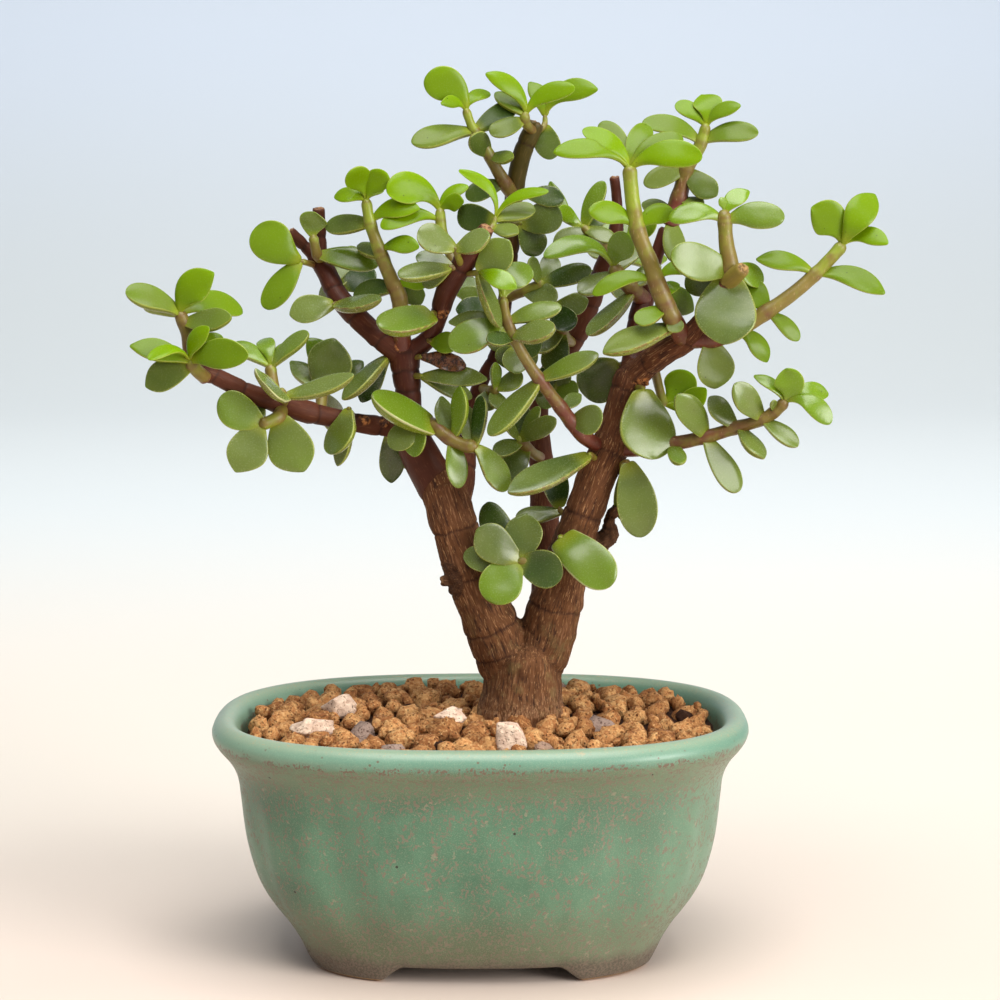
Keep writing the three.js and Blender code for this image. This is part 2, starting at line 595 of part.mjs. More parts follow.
    leaves: [
      [23.8, 176.8, 16.9, 187, 15, 66, 4.4, 0.75], [23.9, 176.6, 18.8, 180.2, 11, 66, 3.8, 0.9],
      [23.8, 176.8, 29.6, 187, 18, 66, 4.6, 0.5], [24.4, 176.4, 30, 180.6, 19, 75, 5.6, 0.1],
      [25.2, 175.6, 32.4, 172.9, 12, 64, 4.4, 0.45], [26.4, 174.4, 17.6, 171.9, 12, 76, 5.6, 0.15],
    ],
  },
  {
    name: "centre_right_lens_shoot", girth: [1.8, 1.4],
    stem: [[39.2, 8, 159], [36.6, 4.5, 161.4], [33.4, 3, 164.6], [31, 2, 167.7]],
    leaves: [
      [31, 167.7, 15.3, 169.3, -2, 50, 5.2, 0.85], [31, 167.7, 35.6, 174.4, -1, 76, 6.4, 0.75],
      [32.4, 165.8, 37.8, 171.4, 7, 66, 4.8, 0.3], [32.6, 165.4, 23.5, 160.9, -2, 64, 5.6, 0.3],
      [35.6, 162.4, 43, 167.4, 5.5, 66, 4.8, 0.35], [36.6, 161.4, 25.8, 150.8, -7, 55, 5.4, 0.3],
    ],
  },
  {
    name: "centre_small_shoot", girth: [1.1, 0.9],
    stem: [[6.4, 11, 159.4], [10.6, 6.5, 161.2], [15.8, 4, 163.4]],
    leaves: [
      [15.8, 163.4, 12.3, 169.2, 2, 55, 3.6, 0.5], [15.8, 163.4, 17.4, 169.8, 8, 76, 4.8, 0.45],
      [15.8, 163.4, 26.7, 166.3, 2, 70, 5, 0.2], [10.6, 161.2, 18.3, 158.7, 0.5, 72, 5.6, 0.3],
    ],
  },
  {
    name: "front_middle_shoot", girth: [1.6, 0.9],
    stem: [
      [29, -3, 124.2], [24.8, -8, 126.6], [21.6, -10, 130.6], [18.4, -12, 134.8], [14.8, -14, 139.6],
      [11.4, -14.5, 144.6], [8.6, -15, 149.6], [7, -15, 153.4], [6.1, -14, 157], [5.6, -13, 160.6],
    ],
    leaves: [
      [14.4, 140.2, 2.2, 126.9, -17, 62, 6.2, 0.4], [14.4, 140.2, 28.4, 146.3, -17, 64, 5.2, 0.4],
      [6.9, 153.8, 19.7, 157.4, -17, 66, 4.8, 0.55], [7.4, 152.4, -7, 147.9, -16, 66, 8, 0.6],
      [7, 153.6, -7.2, 153.9, -11, 64, 4.4, 0.35], [8.2, 150.4, 2, 149.6, -21, 66, 3.8, 0.1],
      [8.2, 150.6, 17.8, 152, -25, 52, 6.4, 0.35], [5.7, 160, 12.7, 166.4, -8, 76, 6.6, 0.7],
      [5.7, 160, 1.8, 166.8, -6, 70, 5, 0.8], [22.2, 129.8, 29.4, 131.2, -15, 74, 6.6, 0.45],
      [19.4, 133.4, 24.2, 136.8, -6, 72, 3.4, 0.3],
    ],
  },
  {
    name: "right_limb_dark_leaf", girth: [1.2, 1.1],
    stem: [[34.6, 0, 143], [33.2, 4.6, 144]],
    leaves: [[33.3, 144, 25, 136.2, 6, 85, 10.2, 0.1]],
  },
  {
    name: "left_middle_low_shoot", girth: [1.6, 1.2],
    stem: [[-13.6, -2, 130.6], [-10.2, -7, 128.8], [-7.2, -9, 126.4], [-3, -11, 124.4], [0.2, -12, 124.6]],
    leaves: [
      [-6.6, 126.2, -4.6, 138.8, -12, 55, 5, 0.6], [-6.6, 126, -5, 114.2, -11.5, 76, 5, 0.5],
      [0, 124.6, 6.1, 113.3, -15, 66, 6.6, 0.6], [0.1, 124.6, 0.6, 136.4, -10, 66, 4, 0.15],
      [-7.4, 126.6, -9, 136.4, -5.5, 72, 4.4, 0.15], [-2.4, 124.4, -2.6, 134, -6.5, 80, 4.4, 0.25],
      [-10.6, 129.2, -25.5, 136.8, -13.5, 55, 7.6, 0.65],
    ],
  },
  {
    name: "left_neck_long_leaves", girth: [1.2, 1.1],
    stem: [[-16.4, -1, 141.2], [-13, -4.6, 141.2]],
    leaves: [
      [-13, 141.2, 2, 140.4, -9, 68, 4.8, 0.4], [-13.4, 141.1, -1.6, 136, 1.5, 64, 4.4, 0.3],
    ],
  },
  {
    name: "left_neck_dried_leaf", girth: [1, 1],
    stem: [[-15.8, -1, 145.6], [-13.2, -4.6, 145.8]],
    leaves: [[-13.2, 145.8, -3, 143.2, -8, 78, 4.2, 0]],
  },
  {
    name: "left_middle_bright_leaf", girth: [1, 1],
    stem: [[-12, -3, 149.8], [-11, -6.4, 149.2]],
    leaves: [[-11, 149.2, -4.7, 149.1, -8, 76, 5, 0.7]],
  },
  {
    name: "top_limb_middle_leaves", girth: [1.1, 1],
    stem: [[6.2, 11, 157.6], [3.8, 7.5, 157.6]],
    leaves: [
      [3.9, 157.6, -5.4, 156.8, 5, 80, 5.8, 0.05], [4, 157.6, -4.4, 161.6, 9, 76, 5, 0.6],
      [4.6, 157.6, -7.6, 165.4, 20, 70, 6, 0.4],
    ],
  },
  {
    name: "rear_limb_leaves", girth: [1.1, 1],
    stem: [[22, 22.4, 149], [20.4, 16, 150.6], [18, 12, 155.4], [18.2, 12, 158.8]],
    leaves: [
      [18.2, 158.8, 26, 159, 11, 74, 5.2, 0.35], [18, 157.6, 22.4, 152.4, 8, 80, 6, 0.15],
      [19.2, 151.8, 13.6, 146.8, 9, 66, 4.4, 0.4],
    ],
  },
  {
    name: "right_tall_shoot", girth: [1.9, 1.4],
    stem: [
      [48.6, -13, 149.6], [46, -16, 154.4], [44, -16.5, 158.4], [42.2, -16.5, 162.8], [40.6, -16, 167.6],
      [38.4, -16, 172.8], [37.3, -15.5, 176.4], [36.6, -15.5, 180.4], [36, -15, 185], [35.5, -15, 191],
    ],
    leaves: [
      [35.5, 190.6, 17.6, 193.6, -18, 60, 5, 0.75], [35.5, 190.9, 24.4, 198.8, -14, 60, 4.8, 0.9],
      [35.5, 191, 28.8, 200.8, -9, 74, 5.4, 0.6], [35.5, 191, 39.8, 200, -8, 74, 5.2, 0.65],
      [35.6, 190.6, 52.7, 192.2, -19, 64, 6.4, 0.8], [35.6, 190.9, 48.2, 196.8, -12.5, 66, 5, 0.7],
      [37.5, 175.6, 25.9, 179.8, -19, 66, 5.2, 0.9], [37.5, 175.6, 46.4, 179.4, -14.5, 74, 4.8, 0.75],
      [42.1, 163.2, 53.1, 165.8, -17, 60, 3.8, 0.8], [42.1, 163, 26.9, 160.2, -18, 60, 4, 0.8],
      [44.6, 157, 37.2, 153.6, -20, 58, 4.8, 0.55], [46.8, 152.8, 29.3, 146.5, -22, 60, 6.8, 0.35],
      [45.6, 155.2, 47.4, 151.4, -19, 82, 3.8, 0.4], [43.9, 158.6, 47.4, 162.8, -13, 66, 3.4, 0.85],
    ],
  },
  {
    name: "right_top_shoot", girth: [2, 1],
    stem: [
      [44.7, 13, 176.6], [46.4, 13, 180.4], [48, 13, 186], [49.1, 12.5, 190], [51, 12, 193], [52.4, 12, 196],
      [53.6, 12, 200.6],
    ],
    leaves: [
      [53.6, 200.6, 46.2, 204.9, 14, 64, 4.4, 0.7], [53.6, 200.6, 52.4, 207, 16, 82, 6.8, 0.8],
      [53.5, 200.4, 61.6, 204.4, 10, 64, 3.8, 0.75], [52.5, 196.2, 65.8, 198, 9, 64, 5.2, 0.6],
      [52.2, 195.6, 38.4, 200.4, 11, 64, 4.8, 0.65], [48.8, 189.4, 38.9, 186.1, 10, 76, 4.8, 0.2],
      [49.1, 189.6, 56.2, 183.4, 9, 80, 5.8, 0.3], [45.2, 178, 46.8, 167.6, 5, 78, 5.4, 0.3],
    ],
  },
  {
    name: "right_upright_shoot", girth: [2, 1.2],
    stem: [[58, -16, 162.2], [59.4, -16.5, 166.4], [58.5, -16.5, 172], [58, -16.5, 177], [57.6, -16.5, 180.8]],
    leaves: [
      [57.9, 177.2, 44.9, 177.8, -18, 62, 4.8, 0.7], [58, 177, 72.1, 177.9, -19, 68, 6.2, 0.7],
      [57.9, 178.2, 63.8, 184.5, -14, 66, 4.4, 0.95], [57.6, 180.6, 56.8, 182.9, -17, 66, 2.2, 1],
      [59.2, 165.6, 45.4, 169.7, -23, 72, 8.2, 0.5], [59, 165, 48.7, 162, -11.5, 78, 7, 0.15],
      [59.4, 166.4, 67.2, 162.9, -12, 72, 5.2, 0.65], [59, 164.8, 58.2, 148.4, -23, 85, 13.4, 0.3],
    ],
  },
  {
    name: "right_far_shoot", girth: [1.7, 1.2],
    stem: [
      [50.4, -13, 149.4], [57, -14.5, 150], [62, -15.5, 152.2], [68, -16, 156], [74, -16, 160.2],
      [79.3, -15.5, 164.8], [83, -15.5, 168.6], [86.4, -15, 172.4],
    ],
    leaves: [
      [86.3, 172.3, 78.2, 180.6, -17, 80, 8.2, 0.85], [86.3, 172.3, 93.2, 183.8, -12, 76, 6.8, 0.8],
      [86.1, 172, 96.6, 172, -19, 64, 4.4, 0.8], [79.3, 164.8, 65.4, 168.5, -16.5, 62, 4.8, 0.7],
      [79.4, 165, 96.1, 160.2, -19, 62, 5.2, 0.7], [67.6, 155.8, 61, 162.6, -11.5, 76, 6.6, 0.65],
      [68, 156, 75.8, 149.2, -16.5, 64, 4, 0.65], [60.8, 151.6, 68.4, 144.1, -16, 66, 4.8, 0.7],
      [54.6, 149.8, 56.1, 137.8, -15, 80, 8.6, 0.35],
    ],
  },
  {
    name: "right_low_shoot", girth: [1.6, 1.1],
    stem: [
      [34, -3, 123.4], [41, -7, 123.8], [47, -9.5, 124.9], [54, -12, 126.4], [61, -14, 128.5],
      [67.3, -16.5, 130.5], [71, -17.5, 133], [73.4, -19, 135.6],
    ],
    leaves: [
      [54, 126.5, 47, 136.4, -18, 72, 6.2, 0.4], [54.4, 126.4, 61.7, 113, -21, 76, 5.8, 0.35],
      [61, 128.6, 54.6, 136, -14, 72, 5.2, 0.3], [61.6, 128.8, 67.9, 121.2, -22.5, 58, 4.8, 0.5],
      [67.3, 130.4, 60.6, 139, -21, 72, 6, 0.35], [67.6, 130.6, 75.9, 124, -22, 64, 4.4, 0.5],
      [70, 132.2, 69.8, 134.9, -21, 66, 2, 0.3], [73.4, 135.4, 65.2, 141, -17, 50, 3.2, 0.7],
      [73.4, 135.5, 73, 142.8, -21, 80, 6.6, 0.95], [73.4, 135.5, 83.1, 136.4, -17, 66, 4.4, 0.8],
      [73, 135, 83.6, 129.3, -22.5, 66, 4.8, 0.9], [46.4, 124.8, 48, 120, -19, 78, 4, 0.5],
    ],
  },
  {
    name: "right_limb_round_leaf", girth: [1.2, 1.1],
    stem: [[36.4, -4, 138.6], [39.6, -8.4, 137.8]],
    leaves: [[39.5, 137.8, 42, 121, -13, 85, 13.2, 0.35]],
  },
  {
    name: "right_limb_hanging_leaves", girth: [1.2, 1.1],
    stem: [[33, -3, 119.4], [35.9, -7.6, 120.8]],
    leaves: [
      [36, 121.4, 38.6, 102.1, -9.5, 85, 9, 0.25], [35.4, 121.4, 34.2, 106.4, 3, 76, 5.4, 0.5],
    ],
  },
  {
    name: "right_limb_long_leaf", girth: [1.2, 1.2],
    stem: [[28.2, -4, 121], [25.8, -9.4, 122.6]],
    leaves: [
      [25.9, 122.6, 6.7, 113.2, -22, 56, 7.2, 0.2],
    ],
  },
  {
    name: "fork_cluster", girth: [1.4, 1.2],
    stem: [[20, -2, 95.6], [14, -7.5, 96.4], [8.4, -9, 96.6]],
    leaves: [
      [8.4, 96.6, -0.6, 104.6, -11, 80, 8.4, 0.35], [8.6, 96.6, 2.6, 86.4, -14, 84, 9.6, 0.5],
      [9, 96.6, 19.8, 92.8, -12.5, 80, 8.4, 0.2], [8.8, 96.6, 11.2, 108.2, -6, 82, 8.6, 0.2],
      [10.6, 96.6, 1.4, 110.8, 3, 80, 7, 0.1], [9.4, 96.6, -4, 98, -7.6, 76, 6.2, 0.15],
    ],
  },
  {
    name: "right_limb_tilted_leaf", girth: [1.2, 1.2],
    stem: [[22, -3, 101.4], [18.6, -8.2, 102.6]],
    leaves: [[18.7, 102.6, 32, 90.8, -14.5, 74, 9.6, 0.45]],
  },
  {
    name: "right_limb_olive_leaves", girth: [1.1, 1.1],
    stem: [[22.6, -1, 107.4], [19.6, 3, 108.4], [19, 4.4, 110.4]],
    leaves: [
      [19.6, 108.4, 8.6, 107, 2.5, 60, 4.8, 0.2], [19, 110.4, 16.6, 119.8, 6, 78, 6.4, 0.1],
    ],
  },
  {
    name: "rear_low_cluster", girth: [1.1, 1],
    stem: [[14.6, 19, 121.6], [12.4, 14, 123], [8.8, 10, 126.8]],
    leaves: [
      [8.8, 126.8, 14.4, 133.7, 8, 66, 3.2, 0.5], [9, 126.8, 18.4, 130.6, 4, 72, 4.6, 0.35],
      [8.8, 126.8, 6, 131, 8, 66, 2.8, 0.4], [10.4, 125.2, 3.6, 122.6, 4, 66, 4.4, 0.3],
      [11.6, 123.8, 6.2, 115.4, 8, 80, 6.4, 0.1],
    ],
  },
  {
    name: "rear_right_bright_leaves", girth: [1, 0.9],
    stem: [[41.6, -2, 143], [42.8, 3, 138], [44, 5, 133.4]],
    leaves: [
      [44, 133.4, 48.8, 142.5, 5.5, 82, 7.6, 0.9], [44, 133.4, 54, 138, 3, 80, 5.4, 0.85],
    ],
  },
  {
    name: "rear_outer_shoot", girth: [1.6, 1],
    stem: [[28.6, 23, 163], [31, 29, 166], [33.6, 34, 169], [35.6, 38, 172.4]],
    leaves: [
      [35.6, 172.4, 41.8, 178.4, 36, 70, 6.2, 0.7], [35.6, 172.4, 29.4, 178, 42, 70, 6, 0.7],
      [35.4, 172, 38.6, 170.4, 49, 40, 5.6, 0.6], [33.4, 168.8, 44.6, 168.6, 38, 66, 6, 0.45],
      [33.4, 168.8, 25.6, 171.4, 38, 66, 5.6, 0.4], [31, 166, 36.4, 160.4, 36, 74, 6.4, 0.3],
      [31, 166, 24.8, 161, 36, 74, 6, 0.3],
    ],
  },
];

// The place on a stem's route that lies nearest to where a leaf's foot is seen, kept a leafRoot from
// the stem's end so that the foot is rooted in it.
function footOn(stem, x, z) {
  const curve = new THREE.CatmullRomCurve3(stem.map((p) => new THREE.Vector3(...p)), false, "centripetal");
  const places = curve.getPoints(stem.length * 12);
  const away = (place) => Math.hypot(place.x - x, place.z - z);
  const nearest = places.reduce((best, place) => (away(place) < away(best) ? place : best));
  const last = curve.getPointAt(1 - leafRoot / curve.getLength());
  const foot = nearest.distanceTo(places.at(-1)) < leafRoot ? last : nearest;
  return seen(...foot.toArray());
}

function shootSolid({ stem, girth, leaves }, clearance) {
  const route = stem.map((point) => seen(...point));
  const radii = stem.map((_, i) => THREE.MathUtils.lerp(girth[0], girth[1], i / (stem.length - 1)));
  const blades = leaves.map(([footX, footZ, tipX, tipZ, tipY, facing, width]) => {
    const foot = footOn(stem, footX, footZ);
    const tip = seen(tipX, tipY, tipZ);
    const share = foot.distanceTo(tip) * leafThicknessShare;
    const thickness = THREE.MathUtils.clamp(share, youngLeafThickness, thickestLeaf);
    return leafSolid(foot, tip, facing, width, thickness, clearance);
  });
  return joined([bentRod(route, radii, 5, 1, clearance), ...blades]);
}

function shootColour({ leaves }) {
  const youth = leaves.reduce((sum, leaf) => sum + leaf[7], 0) / leaves.length;
  return colours.matureLeaf.clone().lerp(colours.youngLeaf, youth);
}

function boxesMeet(a, b) {
  const [p, q] = [a.boundingBox(), b.boundingBox()];
  return [0, 1, 2].every((axis) => p.min[axis] < q.max[axis] && q.min[axis] < p.max[axis]);
}

const tree = new THREE.Group();
const wood = buildWood(0);
const woodClearance = buildWood(gap);
const stoneSolids = stones.map((stone, i) => stoneSolid(stone, i + 3, 0));
const stoneClearances = stones.map((stone, i) => stoneSolid(stone, i + 3, gap));

tree.add(meshOf("pot", buildPot(), colours.glaze, 0.3));
tree.add(meshOf("drainage_screen_left", buildScreen(-1), colours.screen, 0.6));
tree.add(meshOf("drainage_screen_right", buildScreen(1), colours.screen, 0.6));
tree.add(meshOf("soil_bed", buildSoil([woodClearance, ...stoneClearances]), colours.soil, 0.95));
stoneSolids.forEach((stone, i) => {
  tree.add(meshOf(`pumice_stone_${i + 1}`, stone, colours.pumice, 0.95));
});
tree.add(meshOf("trunk_and_limbs", wood, colours.bark, 0.8));

// Each shoot is trimmed where it would touch the wood or a shoot placed before it.
const taken = [woodClearance];
for (const shoot of shoots) {
  const whole = shootSolid(shoot, 0);
  const cutters = taken.filter((other) => boxesMeet(other, whole));
  const trimmed = biggestPiece(cutters.reduce((rest, other) => rest.subtract(other), whole));
  tree.add(meshOf(shoot.name, trimmed, shootColour(shoot), 0.45));
  taken.push(shootSolid(shoot, gap));
}

// The whole stands on z = 0 with the middle of its outline over the origin.
const bonsai = new THREE.Group();
bonsai.add(tree);
bonsai.updateMatrixWorld(true);
const outline = new THREE.Box3().setFromObject(bonsai);
const middle = outline.getCenter(new THREE.Vector3());
tree.position.set(-middle.x, -middle.y, -outline.min.z);

export default bonsai;
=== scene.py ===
import math
import random

import bmesh
import bpy
from mathutils import Matrix, Vector, kdtree, noise


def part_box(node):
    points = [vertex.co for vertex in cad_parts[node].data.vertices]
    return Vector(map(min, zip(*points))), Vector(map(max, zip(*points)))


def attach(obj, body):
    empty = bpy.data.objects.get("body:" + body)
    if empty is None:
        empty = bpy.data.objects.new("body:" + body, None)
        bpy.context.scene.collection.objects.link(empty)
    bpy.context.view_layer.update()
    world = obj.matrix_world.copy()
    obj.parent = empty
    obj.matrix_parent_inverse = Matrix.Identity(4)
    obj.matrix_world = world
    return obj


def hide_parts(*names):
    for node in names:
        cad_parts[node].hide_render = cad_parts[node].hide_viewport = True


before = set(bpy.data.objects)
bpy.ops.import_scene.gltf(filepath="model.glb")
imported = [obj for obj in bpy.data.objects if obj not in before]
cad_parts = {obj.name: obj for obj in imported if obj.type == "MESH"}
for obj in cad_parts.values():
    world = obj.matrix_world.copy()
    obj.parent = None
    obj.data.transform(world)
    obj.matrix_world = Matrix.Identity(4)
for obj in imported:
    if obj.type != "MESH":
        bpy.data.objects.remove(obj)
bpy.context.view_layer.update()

# Pot: one fired piece of stoneware, a turned bowl pressed to a soft-cornered oblong, with a rolled rim
# and four feet left by low arches. Satin teal glaze breaks to mauve-brown specks over the clay, and the
# undersides of the feet are bare. Sizes are in millimetres from the middle of the pot's footprint.
MM = 0.001
pot_low, pot_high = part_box("pot")
pot_middle = Vector(((pot_low.x + pot_high.x) / 2, (pot_low.y + pot_high.y) / 2, 0))
pot_outside = [
    (39.5, 0), (41.9, 0.5), (43.4, 3), (44.9, 6.5), (47, 10), (49.8, 13.6), (52.3, 17.4), (54.2, 21.4),
    (55.6, 26), (56.7, 31), (57.4, 36.5), (57.9, 41.5), (58.3, 45), (59, 47.6), (60, 49.7), (61.3, 51.6),
    (62.8, 53.4), (64, 55.3), (64.4, 57.3), (63.3, 59.2), (61.5, 60.2), (59.7, 59.7),
]
pot_inside = [
    (58.4, 58), (57.5, 55), (56.6, 51), (55.6, 45), (54.4, 37), (52.8, 29), (50, 21), (46.4, 14.5),
    (43.4, 10.6), (41.4, 9.5), (30, 9.5),
]
plan_power = 2.6
side_inset = 19.5
inset_share = 0.36
underside = 5
foot_ring_inside = 34
arch_height = 3.8
arch_reach = {"x": 24.5, "y": 12.5}
arch_shoulder = 6.5
arch_fade = 9
flute_place = 0.61
flute_width = 7.5
flute_depth = 1.9
side_flute_depth = 0.9
flute_skin = (39, 43)
flute_foot = (5, 16)
flute_head = (38, 49)
long_side = (0.5, 0.62)
short_side = (0.85, 0.93)
pot_steps = 300


def line_through(points, steps):
    """Points on the smooth line through the given ones, steps of them to a span."""
    ends = [points[0], *points, points[-1]]
    line = []
    for i in range(len(points) - 1):
        before, here, there, after = (Vector(ends[i + j]) for j in range(4))
        for step in range(steps):
            t = step / steps
            line.append(
                0.5 * (2 * here + (there - before) * t + (2 * before - 5 * here + 4 * there - after) * t ** 2
                       + (3 * here - before - 3 * there + after) * t ** 3))
    line.append(Vector(points[-1]))
    return line


def eased(value, low, high):
    """0 below low, 1 above high, and a smooth S between them."""
    share = min(max((value - low) / (high - low), 0), 1)
    return share * share * (3 - 2 * share)


def pressed(reach, angle):
    """Where a point of the turned bowl comes to lie once its circle is pressed to the pot's plan."""
    if reach < 1e-6:
        return Vector((0, 0))
    short = reach - min(reach * inset_share, side_inset)
    across = abs(math.cos(angle)) / reach
    along = abs(math.sin(angle)) / short
    radius = (across ** plan_power + along ** plan_power) ** (-1 / plan_power)
    return Vector((radius * math.cos(angle), radius * math.sin(angle)))


def spun(profile, steps):
    """A closed ring of faces turned from a profile of (reach, height) about the pot's upright axis."""
    mesh = bmesh.new()
    line = [mesh.verts.new((reach, 0, height)) for reach, height in profile]
    edges = [mesh.edges.new(pair) for pair in zip(line, line[1:])]
    bmesh.ops.spin(
        mesh, geom=line + edges, cent=(0, 0, 0), axis=(0, 0, 1), angle=math.tau, steps=steps, use_merge=True)
    return mesh


def finished(mesh, name, *finishes):
    """Moves a mesh modelled in millimetres to its place and makes it a smooth piece riding on the root."""
    bmesh.ops.transform(mesh, matrix=Matrix.Translation(pot_middle) @ Matrix.Scale(MM, 4), verts=mesh.verts)
    data = bpy.data.meshes.new(name)
    mesh.to_mesh(data)
    mesh.free()
    for finish in finishes:
        data.materials.append(finish)
    for face in data.polygons:
        face.use_smooth = True
    piece = bpy.data.objects.new(name, data)
    bpy.context.scene.collection.objects.link(piece)
    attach(piece, "root")
    return piece


def press_pot(vertex):
    """Presses one vertex of the turned bowl to the plan, with the flutes by its corners and the arches."""
    x, y, z = vertex.co
    reach = math.hypot(x, y)
    plan = pressed(reach, math.atan2(y, x))
    if reach > foot_ring_inside - 1 and z < 50:
        outer = eased(reach, *flute_skin) * eased(z, *flute_foot) * (1 - eased(z, *flute_head))
        long_dip = math.exp(-((abs(plan.x) - flute_place * reach) / flute_width) ** 2)
        short_dip = math.exp(-((abs(plan.y) - flute_place * (reach - side_inset)) / flute_width) ** 2)
        on_wall = 1 if reach > outline_reach(z) - 2 else 0
        facing_long = eased(abs(plan.y) / reach, *long_side)
        facing_short = eased(abs(plan.x) / reach, *short_side)
        plan.y -= math.copysign(flute_depth * outer * on_wall * long_dip * facing_long, plan.y)
        plan.x -= math.copysign(side_flute_depth * outer * on_wall * short_dip * facing_short, plan.x)
        arch = arch_height * max(
            1 - eased(abs(plan.x), arch_reach["x"] - arch_shoulder, arch_reach["x"]),
            1 - eased(abs(plan.y), arch_reach["y"] - arch_shoulder, arch_reach["y"]))
        top = underside if reach < outline_reach(0) - 3 else arch_fade
        if z < top:
            z = arch + z * (1 - arch / top)
    vertex.co = (plan.x, plan.y, z)


def outline_reach(height):
    """How far the pot's outside reaches at a height."""
    for (near, low), (far, high) in zip(pot_outside, pot_outside[1:]):
        if low <= height <= high:
            return near + (far - near) * (height - low) / (high - low)
    return pot_outside[-1][0]


wall = line_through(pot_outside + pot_inside, 3)
under = [(foot_ring_inside + near, underside - drop) for near, drop in ((-4, 0), (-0.6, 0), (0, 0.5))]
foot = [(foot_ring_inside, 0.5), (foot_ring_inside + 0.5, 0)]
bowl = spun([*under, *foot, *wall], pot_steps)
for vertex in bowl.verts:
    press_pot(vertex)

# The floor closes the bowl between the foot ring and the inner corner. Its two drainage holes are left
# open by filling the plan around them.
hole_radius = 6
hole_spacing = 44
hole_steps = 40
floor_rims = [e for e in bowl.edges if e.is_boundary]
for height in (underside, pot_inside[-1][1]):
    rim = [e for e in floor_rims if abs(e.verts[0].co.z - height) < 0.3]
    for side in (-1, 1):
        ring = bmesh.ops.create_circle(bowl, cap_ends=False, radius=hole_radius, segments=hole_steps)["verts"]
        bmesh.ops.translate(bowl, vec=(side * hole_spacing / 2, 0, height), verts=ring)
        rim += list({e for v in ring for e in v.link_edges})
    bmesh.ops.triangle_fill(bowl, use_beauty=True, edges=rim)
hole_rims = [e for e in bowl.edges if e.is_boundary]
for side in (-1, 1):
    pair = [e for e in hole_rims if e.verts[0].co.x * side > 0]
    bmesh.ops.bridge_loops(bowl, edges=pair)
bmesh.ops.recalc_face_normals(bowl, faces=bowl.faces)


def colour(red, green, blue):
    """A colour read from 0 to 255 a channel, as the shaders take it."""
    linear = [(c / 255 / 12.92) if c < 11 else ((c / 255 + 0.055) / 1.055) ** 2.4 for c in (red, green, blue)]
    return (*linear, 1)


class Finish:
    """One finish: a material and the few kinds of node that it is mixed from."""

    def __init__(self, name):
        self.material = bpy.data.materials.new(name)
        self.material.use_nodes = True
        self.tree = self.material.node_tree
        self.shader = self.tree.nodes["Principled BSDF"]
        self.place = self.add("TexCoord").outputs["Object"]

    def add(self, kind, inputs=(), **settings):
        """A new node of a kind, with its inputs by name and its other settings."""
        made = self.tree.nodes.new("ShaderNode" + kind)
        for name, value in settings.items():
            setattr(made, name, value)
        for name, value in dict(inputs).items():
            self.give(made.inputs[name], value)
        return made

    def give(self, socket, value):
        """Links another node's output to a socket, or writes a plain value in it."""
        if isinstance(value, bpy.types.NodeSocket):
            self.tree.links.new(value, socket)
        else:
            socket.default_value = value

    def grain(self, size, detail=3, rough=0.55, where=None, stretch=None):
        """Cloudy noise from 0 to 1, whose lumps are about size millimetres across."""
        place = where or self.place
        if stretch:
            place = self.add("Mapping", {"Vector": place, "Scale": stretch}).outputs[0]
        inputs = {"Vector": place, "Scale": 1 / (size * MM), "Detail": detail, "Roughness": rough}
        return self.add("TexNoise", inputs).outputs["Fac"]

    def cells(self, size):
        """Distance to the nearest of the points scattered about size millimetres apart."""
        inputs = {"Vector": self.place, "Scale": 1 / (size * MM)}
        return self.add("TexVoronoi", inputs).outputs["Distance"]

    def between(self, value, low, high, start=0.0, end=1.0):
        """start below low, end above high, and a smooth S between them."""
        inputs = {"Value": value, "From Min": low, "From Max": high, "To Min": start, "To Max": end}
        return self.add("MapRange", inputs, interpolation_type="SMOOTHSTEP").outputs["Result"]

    def reckon(self, operation, first, second=0.0):
        """A sum, product, greatest or other result of two numbers."""
        made = self.add("Math", operation=operation)
        self.give(made.inputs[0], first)
        self.give(made.inputs[1], second)
        return made.outputs[0]

    def mix(self, share, first, second):
        """The first colour where share is 0, the second where it is 1."""
        made = self.add("Mix", data_type="RGBA")
        self.give(made.inputs[0], share)
        self.give(made.inputs[6], first)
        self.give(made.inputs[7], second)
        return made.outputs[2]

    def axis(self, name):
        """How far a point lies along X, Y or Z, in metres."""
        return self.add("SeparateXYZ", {"Vector": self.place}).outputs[name]

    def mark(self, name):
        """A number painted on the mesh."""
        return self.add("Attribute", attribute_name=name).outputs["Fac"]

    def relief(self, heights):
        """Chains a bump for each (height, strength, depth in millimetres) and gives it to the shader."""
        normal = None
        for height, strength, depth in heights:
            inputs = {"Height": height, "Strength": strength, "Distance": depth * MM}
            if normal:
                inputs["Normal"] = normal
            normal = self.add("Bump", inputs).outputs["Normal"]
        self.give(self.shader.inputs["Normal"], normal)

    def set(self, **inputs):
        """Gives the shader's own sockets their colour, number or node."""
        for name, value in inputs.items():
            self.give(self.shader.inputs[name.replace("_", " ")], value)


